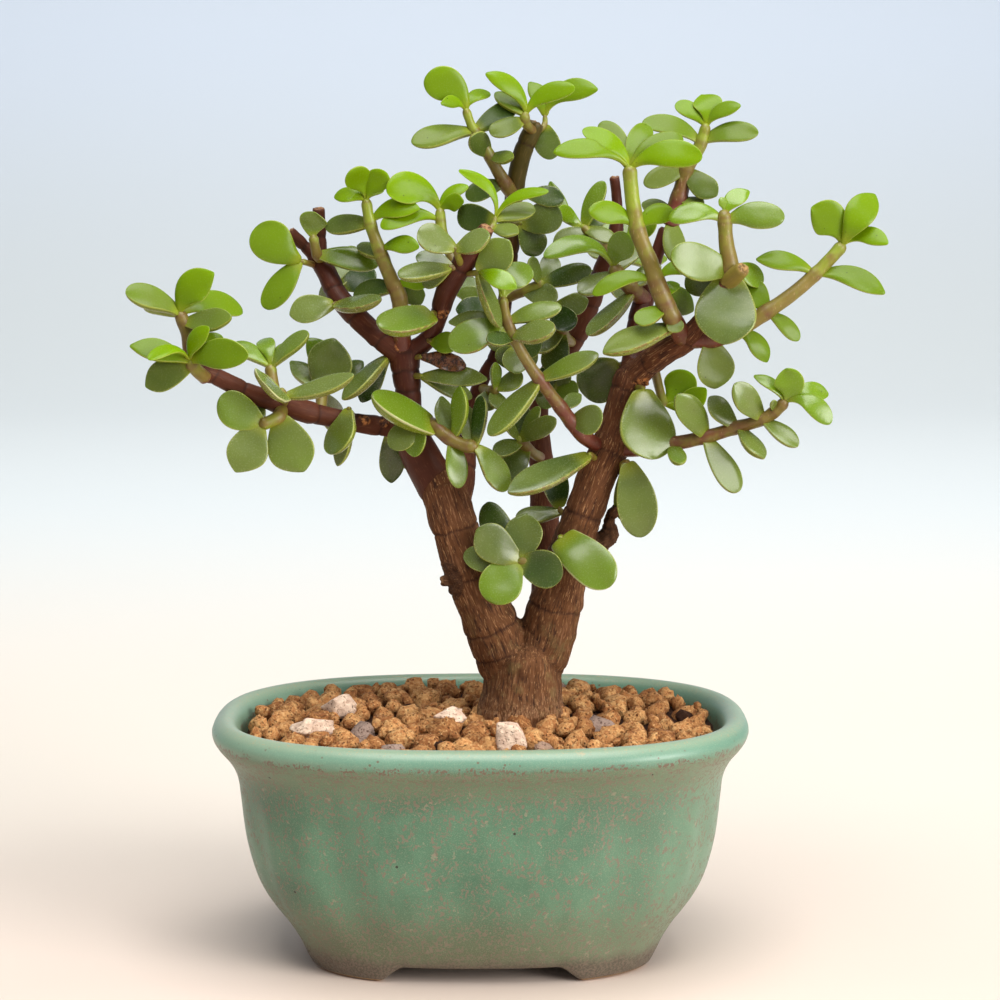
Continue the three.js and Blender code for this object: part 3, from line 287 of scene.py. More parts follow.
def glaze_finish():
    """Satin teal glaze, cloudy and specked, that breaks to brown at the lip and thins at the feet, with
    painted light on its right side and on the rim's left end, and painted shade in its pinholes.
    """
    glaze = Finish("teal_glaze")
    height = glaze.axis("Z")
    cloud = glaze.grain(26, 3)
    run = glaze.grain(7, 4, stretch=(1, 1, 0.3))
    body = glaze.mix(glaze.between(cloud, 0.35, 0.65), colour(65, 104, 80), colour(84, 126, 99))
    body = glaze.mix(glaze.between(run, 0.42, 0.7, 0, 0.4), body, colour(56, 94, 72))
    body = glaze.mix(glaze.between(height, 26 * MM, 6 * MM, 0, 0.6), body, colour(106, 97, 68))
    # The right half is painted paler toward its end: painted light from that side.
    body = glaze.mix(glaze.between(glaze.axis("X"), 0, 56 * MM, 0, 0.35), body, colour(128, 152, 128))
    throat = glaze.reckon("MULTIPLY", glaze.between(height, 45 * MM, 52 * MM, 0, 0.6),
                          glaze.between(height, 56.5 * MM, 55 * MM))
    body = glaze.mix(throat, body, colour(104, 118, 88))
    level = glaze.reckon("ADD", height, glaze.between(glaze.grain(5, 3), 0.3, 0.7, -0.45 * MM, 0.45 * MM))
    rim_glaze = glaze.mix(cloud, colour(86, 126, 106), colour(112, 148, 126))
    # The rim's left end is painted paler: painted light from that side.
    lit_left_end = glaze.between(glaze.axis("X"), -30 * MM, -66 * MM, 0, 0.5)
    rim_glaze = glaze.mix(lit_left_end, rim_glaze, colour(134, 158, 134))
    body = glaze.mix(glaze.between(level, 54.9 * MM, 56.6 * MM), body, rim_glaze)
    body = glaze.mix(glaze.between(height, 58.2 * MM, 60 * MM, 0, 0.4), body, colour(160, 168, 140))
    sugar = glaze.between(glaze.grain(0.24, 2), 0.5, 0.66, 0, 0.2)
    body = glaze.mix(sugar, body, colour(160, 176, 146))

    # Mauve flecks lie in clusters, thick under the lip and near the feet and thin between.
    crowding = glaze.reckon("ADD", glaze.between(height, 38 * MM, 48 * MM, 0, 0.1),
                            glaze.between(height, 24 * MM, 10 * MM, 0, 0.08))
    clusters = glaze.reckon("ADD", glaze.grain(3.4, 3, 0.6), crowding)
    spots = glaze.between(glaze.grain(0.7, 2, 0.5, stretch=(1, 1, 0.7)), 0.53, 0.59)
    dots = glaze.between(glaze.grain(0.4, 3, 0.6), 0.55, 0.62, 0, 0.75)
    flecks = glaze.reckon("MAXIMUM", glaze.reckon("MULTIPLY", spots, glaze.between(clusters, 0.47, 0.55)),
                          glaze.reckon("MULTIPLY", dots, glaze.between(clusters, 0.4, 0.55, 0.2, 1)))
    flecks = glaze.reckon("MULTIPLY", flecks, glaze.between(level, 55.8 * MM, 54.6 * MM, 0.06, 1))
    mauve = glaze.mix(glaze.grain(3, 2), colour(110, 98, 84), colour(134, 121, 104))
    body = glaze.mix(glaze.reckon("MULTIPLY", flecks, 0.85), body, mauve)
    pale = glaze.reckon("MULTIPLY", glaze.between(glaze.grain(1.6, 3, 0.6), 0.64, 0.7),
                        glaze.between(level, 54 * MM, 50 * MM, 0, 0.45))
    body = glaze.mix(pale, body, colour(158, 140, 120))

    # The glaze breaks to brown in a ragged line under the lip, and in drops and worn streaks on the rim.
    ragged = glaze.between(glaze.grain(0.6, 3, 0.6, stretch=(1, 1, 0.7)), 0.48, 0.54)
    breaks = glaze.reckon("MULTIPLY", ragged, glaze.between(glaze.grain(2.6, 3), 0.38, 0.5))
    line = glaze.reckon("MULTIPLY", glaze.between(level, 54.9 * MM, 55.4 * MM),
                        glaze.between(level, 56.8 * MM, 56.2 * MM))
    faint = glaze.reckon("MULTIPLY", glaze.between(level, 52.9 * MM, 53.3 * MM, 0, 0.5),
                         glaze.between(level, 54.3 * MM, 53.8 * MM))
    line = glaze.reckon("MULTIPLY", glaze.reckon("MAXIMUM", line, faint), breaks)
    body = glaze.mix(glaze.reckon("MULTIPLY", line, 0.8), body, colour(112, 76, 64))
    drops = glaze.reckon("MULTIPLY", glaze.between(glaze.cells(1.9), 0.19, 0.13),
                         glaze.between(height, 55 * MM, 56 * MM))
    drops = glaze.reckon("MULTIPLY", drops, glaze.between(height, 59.4 * MM, 58 * MM, 0.15, 1))
    drops = glaze.reckon("MULTIPLY", drops, glaze.between(glaze.grain(7, 2), 0.46, 0.54))
    body = glaze.mix(glaze.reckon("MULTIPLY", drops, 0.75), body, colour(104, 78, 62))
    worn = glaze.reckon("MAXIMUM", glaze.between(glaze.grain(2.4, 4, 0.7), 0.6, 0.68),
                        glaze.between(glaze.grain(0.5, 3), 0.6, 0.66))
    worn = glaze.reckon("MULTIPLY", worn, glaze.between(height, 58.6 * MM, 59.8 * MM, 0, 0.5))
    body = glaze.mix(worn, body, colour(178, 146, 106))

    # Toward the feet it thins to grey-brown, and the clay they stand on is bare.
    low = glaze.reckon("SUBTRACT", height, glaze.reckon("MULTIPLY", run, 4 * MM))
    grey = glaze.mix(glaze.between(glaze.grain(0.5, 3), 0.4, 0.6), colour(80, 68, 58), colour(108, 92, 80))
    body = glaze.mix(glaze.between(low, 6 * MM, 1.5 * MM, 0, 0.85), body, grey)
    # Pinholes are dimpled and painted near-black: painted shade in them.
    pinholes = glaze.between(glaze.cells(9), 0.045, 0.03)
    body = glaze.mix(glaze.reckon("MULTIPLY", pinholes, 0.85), body, colour(36, 30, 24))
    clay = glaze.mix(glaze.grain(1.2, 4), colour(188, 150, 104), colour(150, 114, 76))
    bare = glaze.between(height, 0.9 * MM, 0.35 * MM)
    body = glaze.mix(bare, body, clay)
    matte = glaze.reckon("MAXIMUM", flecks, bare)
    glaze.relief([(glaze.grain(5, 2), 0.25, 0.35), (glaze.grain(0.6, 3), 0.14, 0.12), (pinholes, 0.5, -0.25)])
    glaze.set(Base_Color=body, Roughness=glaze.between(matte, 0, 1, 0.38, 0.6))
    glaze.shader.inputs["Specular IOR Level"].default_value = 0.45
    glaze.shader.inputs["Coat Weight"].default_value = 0.08
    glaze.shader.inputs["Coat Roughness"].default_value = 0.24
    return glaze.material


glazed_pot = finished(bowl, "glazed_pot", glaze_finish())
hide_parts("pot")

# Drainage screens: two squares of black plastic mesh, cut from a sheet. They lie loose over the holes in
# the pot's floor and keep the soil in, so they keep the model's shape and only get their plastic here.
screen_finish = Finish("screen_plastic")
screen_black = screen_finish.mix(screen_finish.grain(2), colour(26, 28, 27), colour(44, 46, 44))
screen_finish.set(Base_Color=screen_black, Roughness=0.55)
screen_finish.relief([(screen_finish.grain(0.4), 0.2, 0.1)])
for name in ("drainage_screen_left", "drainage_screen_right"):
    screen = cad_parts[name]
    screen.data.materials.clear()
    screen.data.materials.append(screen_finish.material)

# Soil: a bed of baked-clay granules, 3 to 7 mm across, that fills the pot to just under its rim and is
# heaped a little toward the trunk and the rear. A bed painted dark, for painted shade in the gaps between
# the granules, lies under the loose top layer, whose granules are crushed lumps with chipped sides.
soil_edge = 57.5
soil_mound = 2
mound_half = (55, 37)
soil_rise = 1.9
rise_from = -12
rise_to = 30
soil_sink = 3
soil_inside = 57
soil_bottom = 11.2
bed_gap = 0.5
bed_steps = 120
stump_place = Vector((9.7, 2))
stump_reach = 10
dark_hollow = Vector((-2.6, 0.5))
pinkish_flats = [((0.12, 0, 1), 0.68), ((0.86, -0.1, 0.5), 0.6), ((-1, 0, 0.05), 0.72), ((0.1, -1, 0.2), 0.7)]
stones = {
    "double_white": {"at": (-34.4, 5.2), "half": (4.4, 3.2, 2.8), "turn": 20},
    "long_white": {"at": (-39.2, -12.7), "half": (4.8, 2.7, 2.4), "turn": 15},
    "pinkish_upright": {"at": (7, -26.2), "half": (4.3, 3.2, 4.6), "turn": 0, "flats": pinkish_flats},
    "grey_pink": {"at": (-7.3, -9), "half": (3.8, 3.1, 2.7), "turn": 30},
}
granule_sizes = [(7.4, 360), (6.4, 720), (5.4, 1320), (4.4, 2520), (3.4, 4200), (2.7, 3000)]
granule_seed = 7
granule_gap = 0.445
granule_seat = 0.42
granule_chips = 3
granule_lumpiness = 0.44
stone_gap = 0.68
chip_reach = (0.62, 0.86)
chip_flatness = 0.85


def soil_top(x, y):
    """Height of the heaped soil."""
    mound = max(0, 1 - (x / mound_half[0]) ** 2 - (y / mound_half[1]) ** 2)
    return soil_edge + soil_mound * mound + soil_rise * eased(y, rise_from, rise_to)


def wall_share(x, y):
    """0 in the middle of the soil and 1 at the pot's inner wall."""
    short = soil_inside - side_inset
    return ((abs(x) / soil_inside) ** plan_power + (abs(y) / short) ** plan_power) ** (1 / plan_power)


def chipped(mesh, verts, half, turn, centre, random_row, planes, lumpiness, flats=()):
    """Turns a rough ball of vertices into a crushed lump with flat chips, half as large as half each way."""
    start = Vector([random_row.uniform(-50, 50) for _ in range(3)])
    chips = [(Vector(direction).normalized(), reach) for direction, reach in flats]
    for _ in range(planes):
        direction = Vector([random_row.gauss(0, 1) for _ in range(3)]).normalized()
        chips.append((direction, random_row.uniform(*chip_reach)))
    for vertex in verts:
        place = vertex.co.normalized()
        place *= 1 + lumpiness * (noise.noise(place * 1.7 + start) + 0.55 * noise.noise(place * 4 + start))
        for direction, reach in chips:
            beyond = place.dot(direction) - reach
            if beyond > 0:
                place -= direction * beyond * chip_flatness
        vertex.co = place
    bmesh.ops.scale(mesh, vec=half, verts=verts)
    bmesh.ops.rotate(mesh, matrix=turn, verts=verts)
    bmesh.ops.translate(mesh, vec=centre, verts=verts)


def dropped_granules():
    """Places for the granules as (x, y, diameter), the large ones first and each clear of the others."""
    random_row = random.Random(granule_seed)
    placed = []
    for size, tries in granule_sizes:
        for _ in range(tries):
            x = random_row.uniform(-soil_inside, soil_inside)
            y = random_row.uniform(side_inset - soil_inside, soil_inside - side_inset)
            if wall_share(x, y) > 1 - granule_seat * size / (soil_inside - side_inset):
                continue
            spot = Vector((x, y))
            if (spot - stump_place).length < stump_reach - 0.5 or (spot - dark_hollow).length < size * 0.5:
                continue
            room = 0.4 * size
            if any(math.dist((x, y), s["at"]) < stone_gap * (s["half"][1] + room) for s in stones.values()):
                continue
            if all(math.dist((x, y), (px, py)) > granule_gap * (size + other) for px, py, other in placed):
                placed.append((x, y, size * random_row.uniform(0.9, 1.12)))
    return placed


def soil_finish():
    """Baked clay, mottled from ochre to brown, crumbly and pitted, with painted shade in its pits, on its low
    crumbs, toward the back and on the bed under the granules, and a painted highlight on its raised crumbs.
    tone differs from lump to lump.
    """
    clay = Finish("baked_clay")
    tone = clay.mark("tone")
    depth = clay.axis("Y")
    mottle = clay.grain(1.6, 4, 0.65)
    ochre = clay.mix(tone, colour(190, 128, 74), colour(246, 192, 126))
    brown = clay.mix(tone, colour(152, 96, 56), colour(210, 142, 86))
    body = clay.mix(clay.between(mottle, 0.35, 0.68), brown, ochre)
    crumbs = clay.grain(0.8, 5, 0.7)
    # Raised crumbs are painted lighter, partly pale dust and partly a painted highlight, and low crumbs
    # darker, a painted shade.
    body = clay.mix(clay.between(crumbs, 0.54, 0.66, 0, 0.7), body, colour(244, 200, 142))
    body = clay.mix(clay.between(crumbs, 0.45, 0.35, 0, 0.65), body, colour(122, 72, 40))
    # The clay is painted darker toward the back: painted shade.
    body = clay.mix(clay.between(depth, -5 * MM, 34 * MM, 0, 0.3), body, colour(104, 62, 36))
    # The lowest tones are painted dark: the rare dark granules have that colour, and the bed under the
    # granules, at tone 0, takes it as painted shade.
    body = clay.mix(clay.between(tone, 0.035, 0.02), body, colour(66, 42, 30))
    body = clay.mix(clay.between(tone, 0.972, 0.98), body, colour(176, 150, 136))
    # Pits are painted darker: painted shade in them.
    pits = clay.between(clay.cells(1.1), 0.3, 0.14)
    body = clay.mix(clay.reckon("MULTIPLY", pits, 0.65), body, colour(80, 46, 24))
    clay.relief([(clay.grain(1.8, 4, 0.65), 1, 1.2), (crumbs, 1, 0.9), (pits, 0.8, -0.5)])
    clay.set(Base_Color=body, Roughness=0.95)
    clay.shader.inputs["Specular IOR Level"].default_value = 0.2
    return clay.material


clay_finish = soil_finish()
bed_line = [(reach, height) for reach, height in reversed(pot_inside) if 14 < height < soil_edge - soil_sink]
bed_wall = [(reach - bed_gap, height) for reach, height in bed_line]
bed_top = [(reach, soil_edge) for reach in (56.4, 52, 47, 42, 36, 30, 25, 20, 15, 10, 5, 2)]
bed = spun([(0, soil_bottom), (43, soil_bottom), *bed_wall, *bed_top, (0, soil_edge)], bed_steps)
bmesh.ops.remove_doubles(bed, verts=bed.verts, dist=0.01)
tone_mark = bed.verts.layers.float.new("tone")
for vertex in bed.verts:
    x, y, z = vertex.co
    plan = pressed(math.hypot(x, y), math.atan2(y, x))
    # Tone 0 paints the bed dark, as painted shade in the gaps between the granules.
    vertex[tone_mark] = 0
    if z > soil_edge - 0.5:
        lump = noise.noise(Vector((plan.x, plan.y, 0)) / 2.4)
        z = soil_top(plan.x, plan.y) - soil_sink + 0.8 * lump
    vertex.co = (plan.x, plan.y, z)
bmesh.ops.recalc_face_normals(bed, faces=bed.faces)
soil_underlayer = finished(bed, "soil_underlayer", clay_finish)
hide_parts("soil_bed")

heap = bmesh.new()
tone_mark = heap.verts.layers.float.new("tone")
bmesh.ops.create_cube(heap, size=1)
bmesh.ops.subdivide_edges(heap, edges=heap.edges[:], cuts=2, use_grid_fill=True)
pattern = heap.verts[:]
crumb = [*heap.verts, *heap.edges, *heap.faces]
granule_row = random.Random(granule_seed + 1)
for x, y, size in dropped_granules():
    copied = bmesh.ops.duplicate(heap, geom=crumb)["geom"]
    lump = [part for part in copied if isinstance(part, bmesh.types.BMVert)]
    half = [size / 2 * granule_row.uniform(0.8, 1.2) for _ in range(3)]
    axis = Vector([granule_row.gauss(0, 1) for _ in range(3)])
    turn = Matrix.Rotation(granule_row.uniform(0, math.tau), 3, axis)
    height = soil_top(x, y) - granule_seat * size + granule_row.uniform(-0.3, 0.9) * min(size, 5) / 4
    chipped(heap, lump, half, turn, (x, y, height), granule_row, granule_chips, granule_lumpiness)
    tone = granule_row.random()
    for vertex in lump:
        vertex[tone_mark] = max(tone, 0.06) if tone > 0.02 else tone
bmesh.ops.delete(heap, geom=pattern, context="VERTS")
bmesh.ops.recalc_face_normals(heap, faces=heap.faces)
granules = finished(heap, "clay_granules", clay_finish)

# Stones: four pale pitted lumps of pumice, 5 to 10 mm across, that lie loose among the granules. Each is a
# ball of many faces made lumpy and chipped flat on a few sides, and one is pinched into a double lump.
stone_sides = 6
stone_seed = 21
stone_lift = 0.22
pinch_depth = 0.55
pinch_width = 0.3


def pumice_finish():
    """Pale pumice with dirt in its hollows and small pits painted dark, as painted shade in them."""
    pumice = Finish("pumice")
    cloud = pumice.between(pumice.grain(2.2, 4), 0.38, 0.62)
    body = pumice.mix(cloud, colour(230, 204, 180), colour(202, 172, 150))
    dirt = pumice.between(pumice.grain(0.8, 4, 0.75), 0.54, 0.64, 0, 0.75)
    body = pumice.mix(dirt, body, colour(134, 102, 80))
    # The pits are painted dark: painted shade in them.
    pits = pumice.between(pumice.cells(1), 0.2, 0.12)
    body = pumice.mix(pumice.reckon("MULTIPLY", pits, 0.75), body, colour(84, 60, 46))
    pumice.relief([(pumice.grain(1.2, 4, 0.65), 0.8, 0.6), (pits, 0.8, -0.4)])
    pumice.set(Base_Color=body, Roughness=0.95)
    return pumice.material


pumice_look = pumice_finish()
stone_row = random.Random(stone_seed)
for number, (kind, stone) in enumerate(stones.items(), start=1):
    lump = bmesh.new()
    ball = bmesh.ops.create_icosphere(lump, subdivisions=4, radius=1)["verts"]
    x, y = stone["at"]
    centre = Vector((x, y, soil_top(x, y) + stone_lift * stone["half"][2]))
    turn = Matrix.Rotation(math.radians(stone["turn"]), 3, "Z")
    if kind == "double_white":
        for vertex in ball:
            vertex.co *= 1 - pinch_depth * math.exp(-(vertex.co.x / pinch_width) ** 2)
    flats = stone.get("flats", ())
    lumpiness = 0.42 - 0.05 * len(flats)
    chips = stone_sides - len(flats)
    chipped(lump, ball, stone["half"], turn, centre, stone_row, chips, lumpiness, flats)
    piece = finished(lump, f"{kind}_stone", pumice_look)
    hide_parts(f"pumice_stone_{number}")

# Wood: the root stump, the limbs and their branches, grown as one piece. Old bark is brown and fibrous, young
# bark is smooth and reddish, and each joint leaves a ring. The limbs are tubes that a remesh welds to one
# skin, whose fibres, rings and scars are then raised in the mesh.
eye = Vector((5.2, -615, 200))

# A route's points are (x, y, z, radius), with x and z as they are seen on the plane through the stump and y
# the depth behind it. age runs from its foot to its tip: below 0 olive, 0.3 reddish, 1 old and above 1 dead.
# Rings are counted in points along the route.
limbs = {
    "stump": {
        "route": [(9, 2, 44, 6), (9.4, 2, 52, 10.2), (9.9, 2, 59, 11), (10, 2, 64, 9.8), (10.4, 2, 70, 9.1),
                  (10.9, 2, 74, 8.6), (11, 2, 77, 6)],
        "age": (1, 0.95), "rings": []},
    "left": {
        "route": [(6.5, 2, 71, 6.8), (4, 1, 78, 6.9), (1.3, 0, 84.5, 6.3), (-1.8, -1, 92, 6),
                  (-4.5, -1, 100, 5.8), (-7, -1, 108, 5.6), (-9, 0, 114.5, 5.4)],
        "age": (0.92, 0.72), "rings": [0.55, 1.5, 3.1, 4.5]},
    "left_fork": {
        "route": [(-8.5, 0, 112.5, 5.1), (-12.6, 1, 119.5, 4.9), (-15.3, 1, 125, 4.4), (-17, 1, 131, 3.9),
                  (-16.9, 0, 138, 3.2), (-17.4, 0, 143, 3.5), (-17.6, 0, 147.5, 3.7)],
        "age": (0.36, 0.26), "rings": [0.25, 2.45, 4.05, 4.8, 5.8]},
    "right": {
        "route": [(13, 3, 71, 7), (16.3, 2, 79, 6.9), (18.4, 1, 87, 6.4), (20.7, 0, 96, 5.4),
                  (23.4, -1, 104, 4.8), (26.2, -2, 112, 4.7), (29.2, -2, 120, 4.6), (31, -2, 124, 4.6),
                  (32.3, -2, 128, 4), (34, -2, 134.5, 3.7), (36.3, -2, 141.5, 3.9)],
        "age": (0.92, 0.6), "rings": [0.35, 1.8, 3.2, 4.6, 6.85, 9.5]},
    "rear": {
        "route": [(16.5, 7, 80, 5), (16.4, 16, 94, 4), (15.6, 20, 105, 3.7), (15.5, 22, 115, 3.5),
                  (14.4, 23, 125, 2.8), (14.2, 24, 134, 2.5), (17, 24, 142, 2.6), (21, 24, 147.5, 2.7),
                  (24, 23.5, 152.5, 2.7), (26.3, 23, 158, 2.5), (28.3, 22, 163.5, 2.4),
                  (30.3, 21, 168.5, 2.3), (32.2, 20, 174, 2), (32.7, 20, 181, 1.4), (32, 20, 188, 1.3)],
        "age": (0.56, 0.28), "rings": [1.2, 2.3, 3.5, 4.6, 6.1, 7.6, 9, 10.3, 11.7, 12.8]},
    "top": {
        "route": [(-6.5, 0, 110, 4), (-4.8, 5, 117, 3.8), (-3.6, 9, 124, 3), (-2, 11, 131, 2.3),
                  (-1, 12, 135.5, 2), (1.4, 12, 141.4, 1.7), (4.5, 12, 147.5, 1.7), (6.3, 11, 159.3, 1.8),
                  (8, 10, 174.4, 2), (8.3, 9, 182.8, 2.2), (10.3, 8, 193, 2.3), (13.7, 8, 200.7, 2.1)],
        "age": (0.62, -0.3), "rings": [1.3, 2.7, 4.2, 5.6, 6.5, 7.1, 7.7, 8.3, 9.2, 10.3]},
    "low_left": {
        "route": [(-17.5, 1, 128.5, 2.4), (-23, 0, 129.2, 2.4), (-28.6, -2, 130, 2.3),
                  (-36.3, -4, 131.6, 2.4), (-42, -6.5, 133, 2.7), (-47.3, -8, 134.7, 2.5),
                  (-55, -11, 137.5, 2.2), (-62, -13, 141, 2.1), (-66, -14, 142.6, 2.2)],
        "age": (0.44, 0.38), "rings": [1.1, 2.2, 3.4, 4.85, 6.1, 7.2]},
    "upper_left": {
        "route": [(-18, 0, 146, 2.9), (-23, -1, 149.8, 2.6), (-28, 1, 154.5, 2.7), (-33, 4, 160, 2.6),
                  (-36, 7, 166, 2.4), (-38.5, 9, 169.5, 2.2)],
        "age": (0.36, 0.26), "rings": [1, 2.2, 3.3, 4.4]},
    "upper_left_stub": {
        "route": [(-37.5, 9, 168.5, 1.7), (-41, 8, 172, 1.5), (-44.5, 7, 175.5, 1.5)],
        "age": (0.3, 0.4), "rings": [1]},
    "upper_left_peg": {
        "route": [(-37.3, 9, 168.5, 1.9), (-37.4, 9, 175, 1.6), (-37.5, 8, 181, 1.6)],
        "age": (0.3, 0.4), "rings": [0.9]},
    "left_middle": {
        "route": [(-17, 0, 146, 2.7), (-12, -2, 150, 2.2), (-9.6, -5, 155, 2.2), (-7.6, -8, 161, 2.6),
                  (-4.5, -11, 166.5, 2.7), (-1.3, -13, 171, 2.6), (2.2, -16, 176.3, 1.8)],
        "age": (0.3, 0.18), "rings": [1.1, 2.3, 4.1, 5.3]},
    "right_thick": {
        "route": [(35.8, -2, 140, 3.5), (40, -5, 143.8, 3.2), (44.5, -9, 146.8, 3), (49.5, -12.5, 150, 2.9),
                  (52.5, -14, 153.5, 2.3), (55.5, -15, 158.3, 2.1), (58.3, -16, 162.6, 2.1)],
        "age": (0.66, 0.58), "rings": [1.1, 3.05, 4.5, 5.6]},
    "right_stub": {
        "route": [(58.6, -16, 163, 2.2), (60.6, -18.5, 164.8, 2.1), (62.6, -21, 166.4, 1.7)],
        "age": (-0.7, -0.7), "rings": []},
    "right_purple": {
        "route": [(36.2, -1, 140, 3.2), (36.8, 3, 147, 2.7), (37.7, 6, 153, 2.8), (39, 8.5, 158.5, 2.6),
                  (40.6, 10.5, 164, 1.9), (42, 12, 169.5, 1.7), (44.4, 13, 175.6, 2)],
        "age": (0.2, 0.12), "rings": [1, 2.2, 3.3, 4.6]},
    "dry_twig": {
        "route": [(27.5, 0, 100, 2), (31, 2, 102.5, 2.3), (31, 2, 106.5, 1.3), (33.2, 1, 109.6, 1.6)],
        "age": (1.2, 1.2), "rings": [0.8, 1.6, 2.3]},
    "dry_bud": {"route": [(-6, -3, 91.5, 1.4), (-9.4, -4, 91.8, 1.1)], "age": (1.2, 1.2), "rings": []},
}
scars = {
    "torn_shoot": {"at": (39, -6, 138.2), "reach": 3.4, "swell": 0.9},
    "neck_node": {"at": (-18.6, -4, 148.2), "reach": 2, "swell": 0.5},
    "waxy_node": {"at": (38, 3.4, 157), "reach": 1.8, "swell": 0.3},
    "papery_knob": {"at": (-8.3, -8, 155.8), "reach": 1.8, "swell": 0.6},
    "knobby_left": {"at": (-27, -4.4, 131), "reach": 2.2, "swell": 0.7},
    "knobby_far_left": {"at": (-22.6, -2.4, 130), "reach": 1.6, "swell": 0.5},
    "cut_stub": {"at": (33.4, 0.5, 163), "reach": 1.6, "swell": 0.5},
}
route_steps = 7
wood_grain = 0.46
fibre_stretch = 8
ring_depth = 0.26
ring_width = 0.34
collar_height = 0.15
collar_width = 1.3
collar_place = 1.5
dead_age = 1.1
cut_radius = 3.2


def seen(x, y, z):
    """Carries a point seen at (x, z) on the stump's plane along its line of sight to depth y."""
    reach = (y - eye.y) / -eye.y
    return Vector((eye.x + (x - eye.x) * reach, y, eye.z + (z - eye.z) * reach))


def framed(line):
    """The tangent, a steady sideways direction and the distance along for each point of a line."""
    sideways = Vector((0.3, -0.9, 0.2))
    travelled = 0
    rows = []
    for i, point in enumerate(line):
        tangent = (line[min(i + 1, len(line) - 1)] - line[max(i - 1, 0)]).normalized()
        sideways = (sideways - tangent * sideways.dot(tangent)).normalized()
        if i:
            travelled += (point - line[i - 1]).length
        rows.append((tangent, sideways.copy(), travelled))
    return rows


def meshed(holder):
    """The mesh that a curve or an object with modifiers comes out as. The holder itself is taken away."""
    bpy.context.scene.collection.objects.link(holder)
    bpy.context.view_layer.update()
    mesh = bpy.data.meshes.new_from_object(holder.evaluated_get(bpy.context.evaluated_depsgraph_get()))
    bpy.data.objects.remove(holder)
    return mesh


tubes = bpy.data.curves.new("limb_tubes", "CURVE")
tubes.dimensions = "3D"
tubes.bevel_depth = 1
tubes.bevel_resolution = 6
tubes.use_fill_caps = True
samples = []
for limb in limbs.values():
    route = line_through([Vector(point) for point in limb["route"]], route_steps)
    line = [seen(*point[:3]) for point in route]
    frames = framed(line)
    rings = [frames[round(place * route_steps)][2] for place in limb["rings"]]
    spline = tubes.splines.new("POLY")
    spline.points.add(len(line) - 1)
    for i, (point, centre, (tangent, sideways, travelled)) in enumerate(zip(route, line, frames)):
        spline.points[i].co = (*centre, 1)
        spline.points[i].radius = point[3]
        start, end = limb["age"]
        age = start + (end - start) * i / (len(line) - 1)
        last = frames[-1][2]
        samples.append((centre, point[3], tangent, sideways, travelled, age, rings, last))
rough_wood = bpy.data.objects.new("rough_wood", meshed(bpy.data.objects.new("limb_tubes", tubes)))
welding = rough_wood.modifiers.new("welding", "REMESH")
welding.mode = "VOXEL"
welding.voxel_size = wood_grain
easing = rough_wood.modifiers.new("easing", "SMOOTH")
easing.factor = 0.6
easing.iterations = 5
tree = bmesh.new()
tree.from_mesh(meshed(rough_wood))
tree.normal_update()

nearest = kdtree.KDTree(len(samples))
for i, sample in enumerate(samples):
    nearest.insert(sample[0], i)
nearest.balance()
age_mark = tree.verts.layers.float.new("age")
ring_mark = tree.verts.layers.float.new("ring")
scar_mark = tree.verts.layers.float.new("scar")
cut_mark = tree.verts.layers.float.new("cut")
bark_mark = tree.verts.layers.float_vector.new("bark_place")
scar_places = [(seen(*scar["at"]), scar["reach"], scar["swell"]) for scar in scars.values()]
moves = []
for vertex in tree.verts:
    at = vertex.co
    close = [(distance - samples[i][1], i) for _, i, distance in nearest.find_n(at, 8)]
    centre, radius, tangent, sideways, travelled, age, rings, last = samples[min(close)[1]]
    away = at - centre
    along = travelled + away.dot(tangent)
    across = away - tangent * away.dot(tangent)
    place = Vector((across.dot(sideways), across.dot(tangent.cross(sideways)), along / fibre_stretch))
    wobble = 0.7 * noise.noise(at / 3)
    ring = sum(math.exp(-((along + wobble - spot) / ring_width) ** 2) for spot in rings)
    collar = sum(math.exp(-((along + wobble - spot - collar_place) / collar_width) ** 2) for spot in rings)
    fibres = noise.noise(place / 0.85) + 0.6 * noise.noise(place / 0.42)
    lumps = noise.noise(at / 5.5) + 0.5 * noise.noise(at / 2.6)
    rough = min(max(age, 0.1), 1)
    depth = 0.24 * rough ** 1.5 * fibres + (0.12 + 0.42 * rough) * lumps * min(radius / 5, 1)
    depth += (collar_height * collar - ring_depth * ring) * (0.45 + 0.55 * min(radius / 5, 1))
    if age > dead_age:
        depth += 0.7 * noise.noise(at / 1.3)
    scarred = 0
    for spot, reach, swell in scar_places:
        share = 1 - (at - spot).length / reach
        if share > 0:
            scarred = max(scarred, min(1.6 * share, 1))
            depth += swell * min(2 * share, 1) * (0.6 + 1.3 * noise.noise(at / 0.9))
    vertex[age_mark] = age
    vertex[ring_mark] = min(ring, 1)
    vertex[scar_mark] = scarred
    is_end = radius < cut_radius and vertex.normal.dot(tangent) > 0.45
    vertex[cut_mark] = eased(along, last - 0.5, last + 0.3) if is_end else 0
    if vertex[cut_mark] > 0.3:
        depth += 0.5 * noise.noise(at / 0.8)
    vertex[bark_mark] = place * MM
    moves.append(vertex.normal * depth)
for vertex, move in zip(tree.verts, moves):
    vertex.co += move


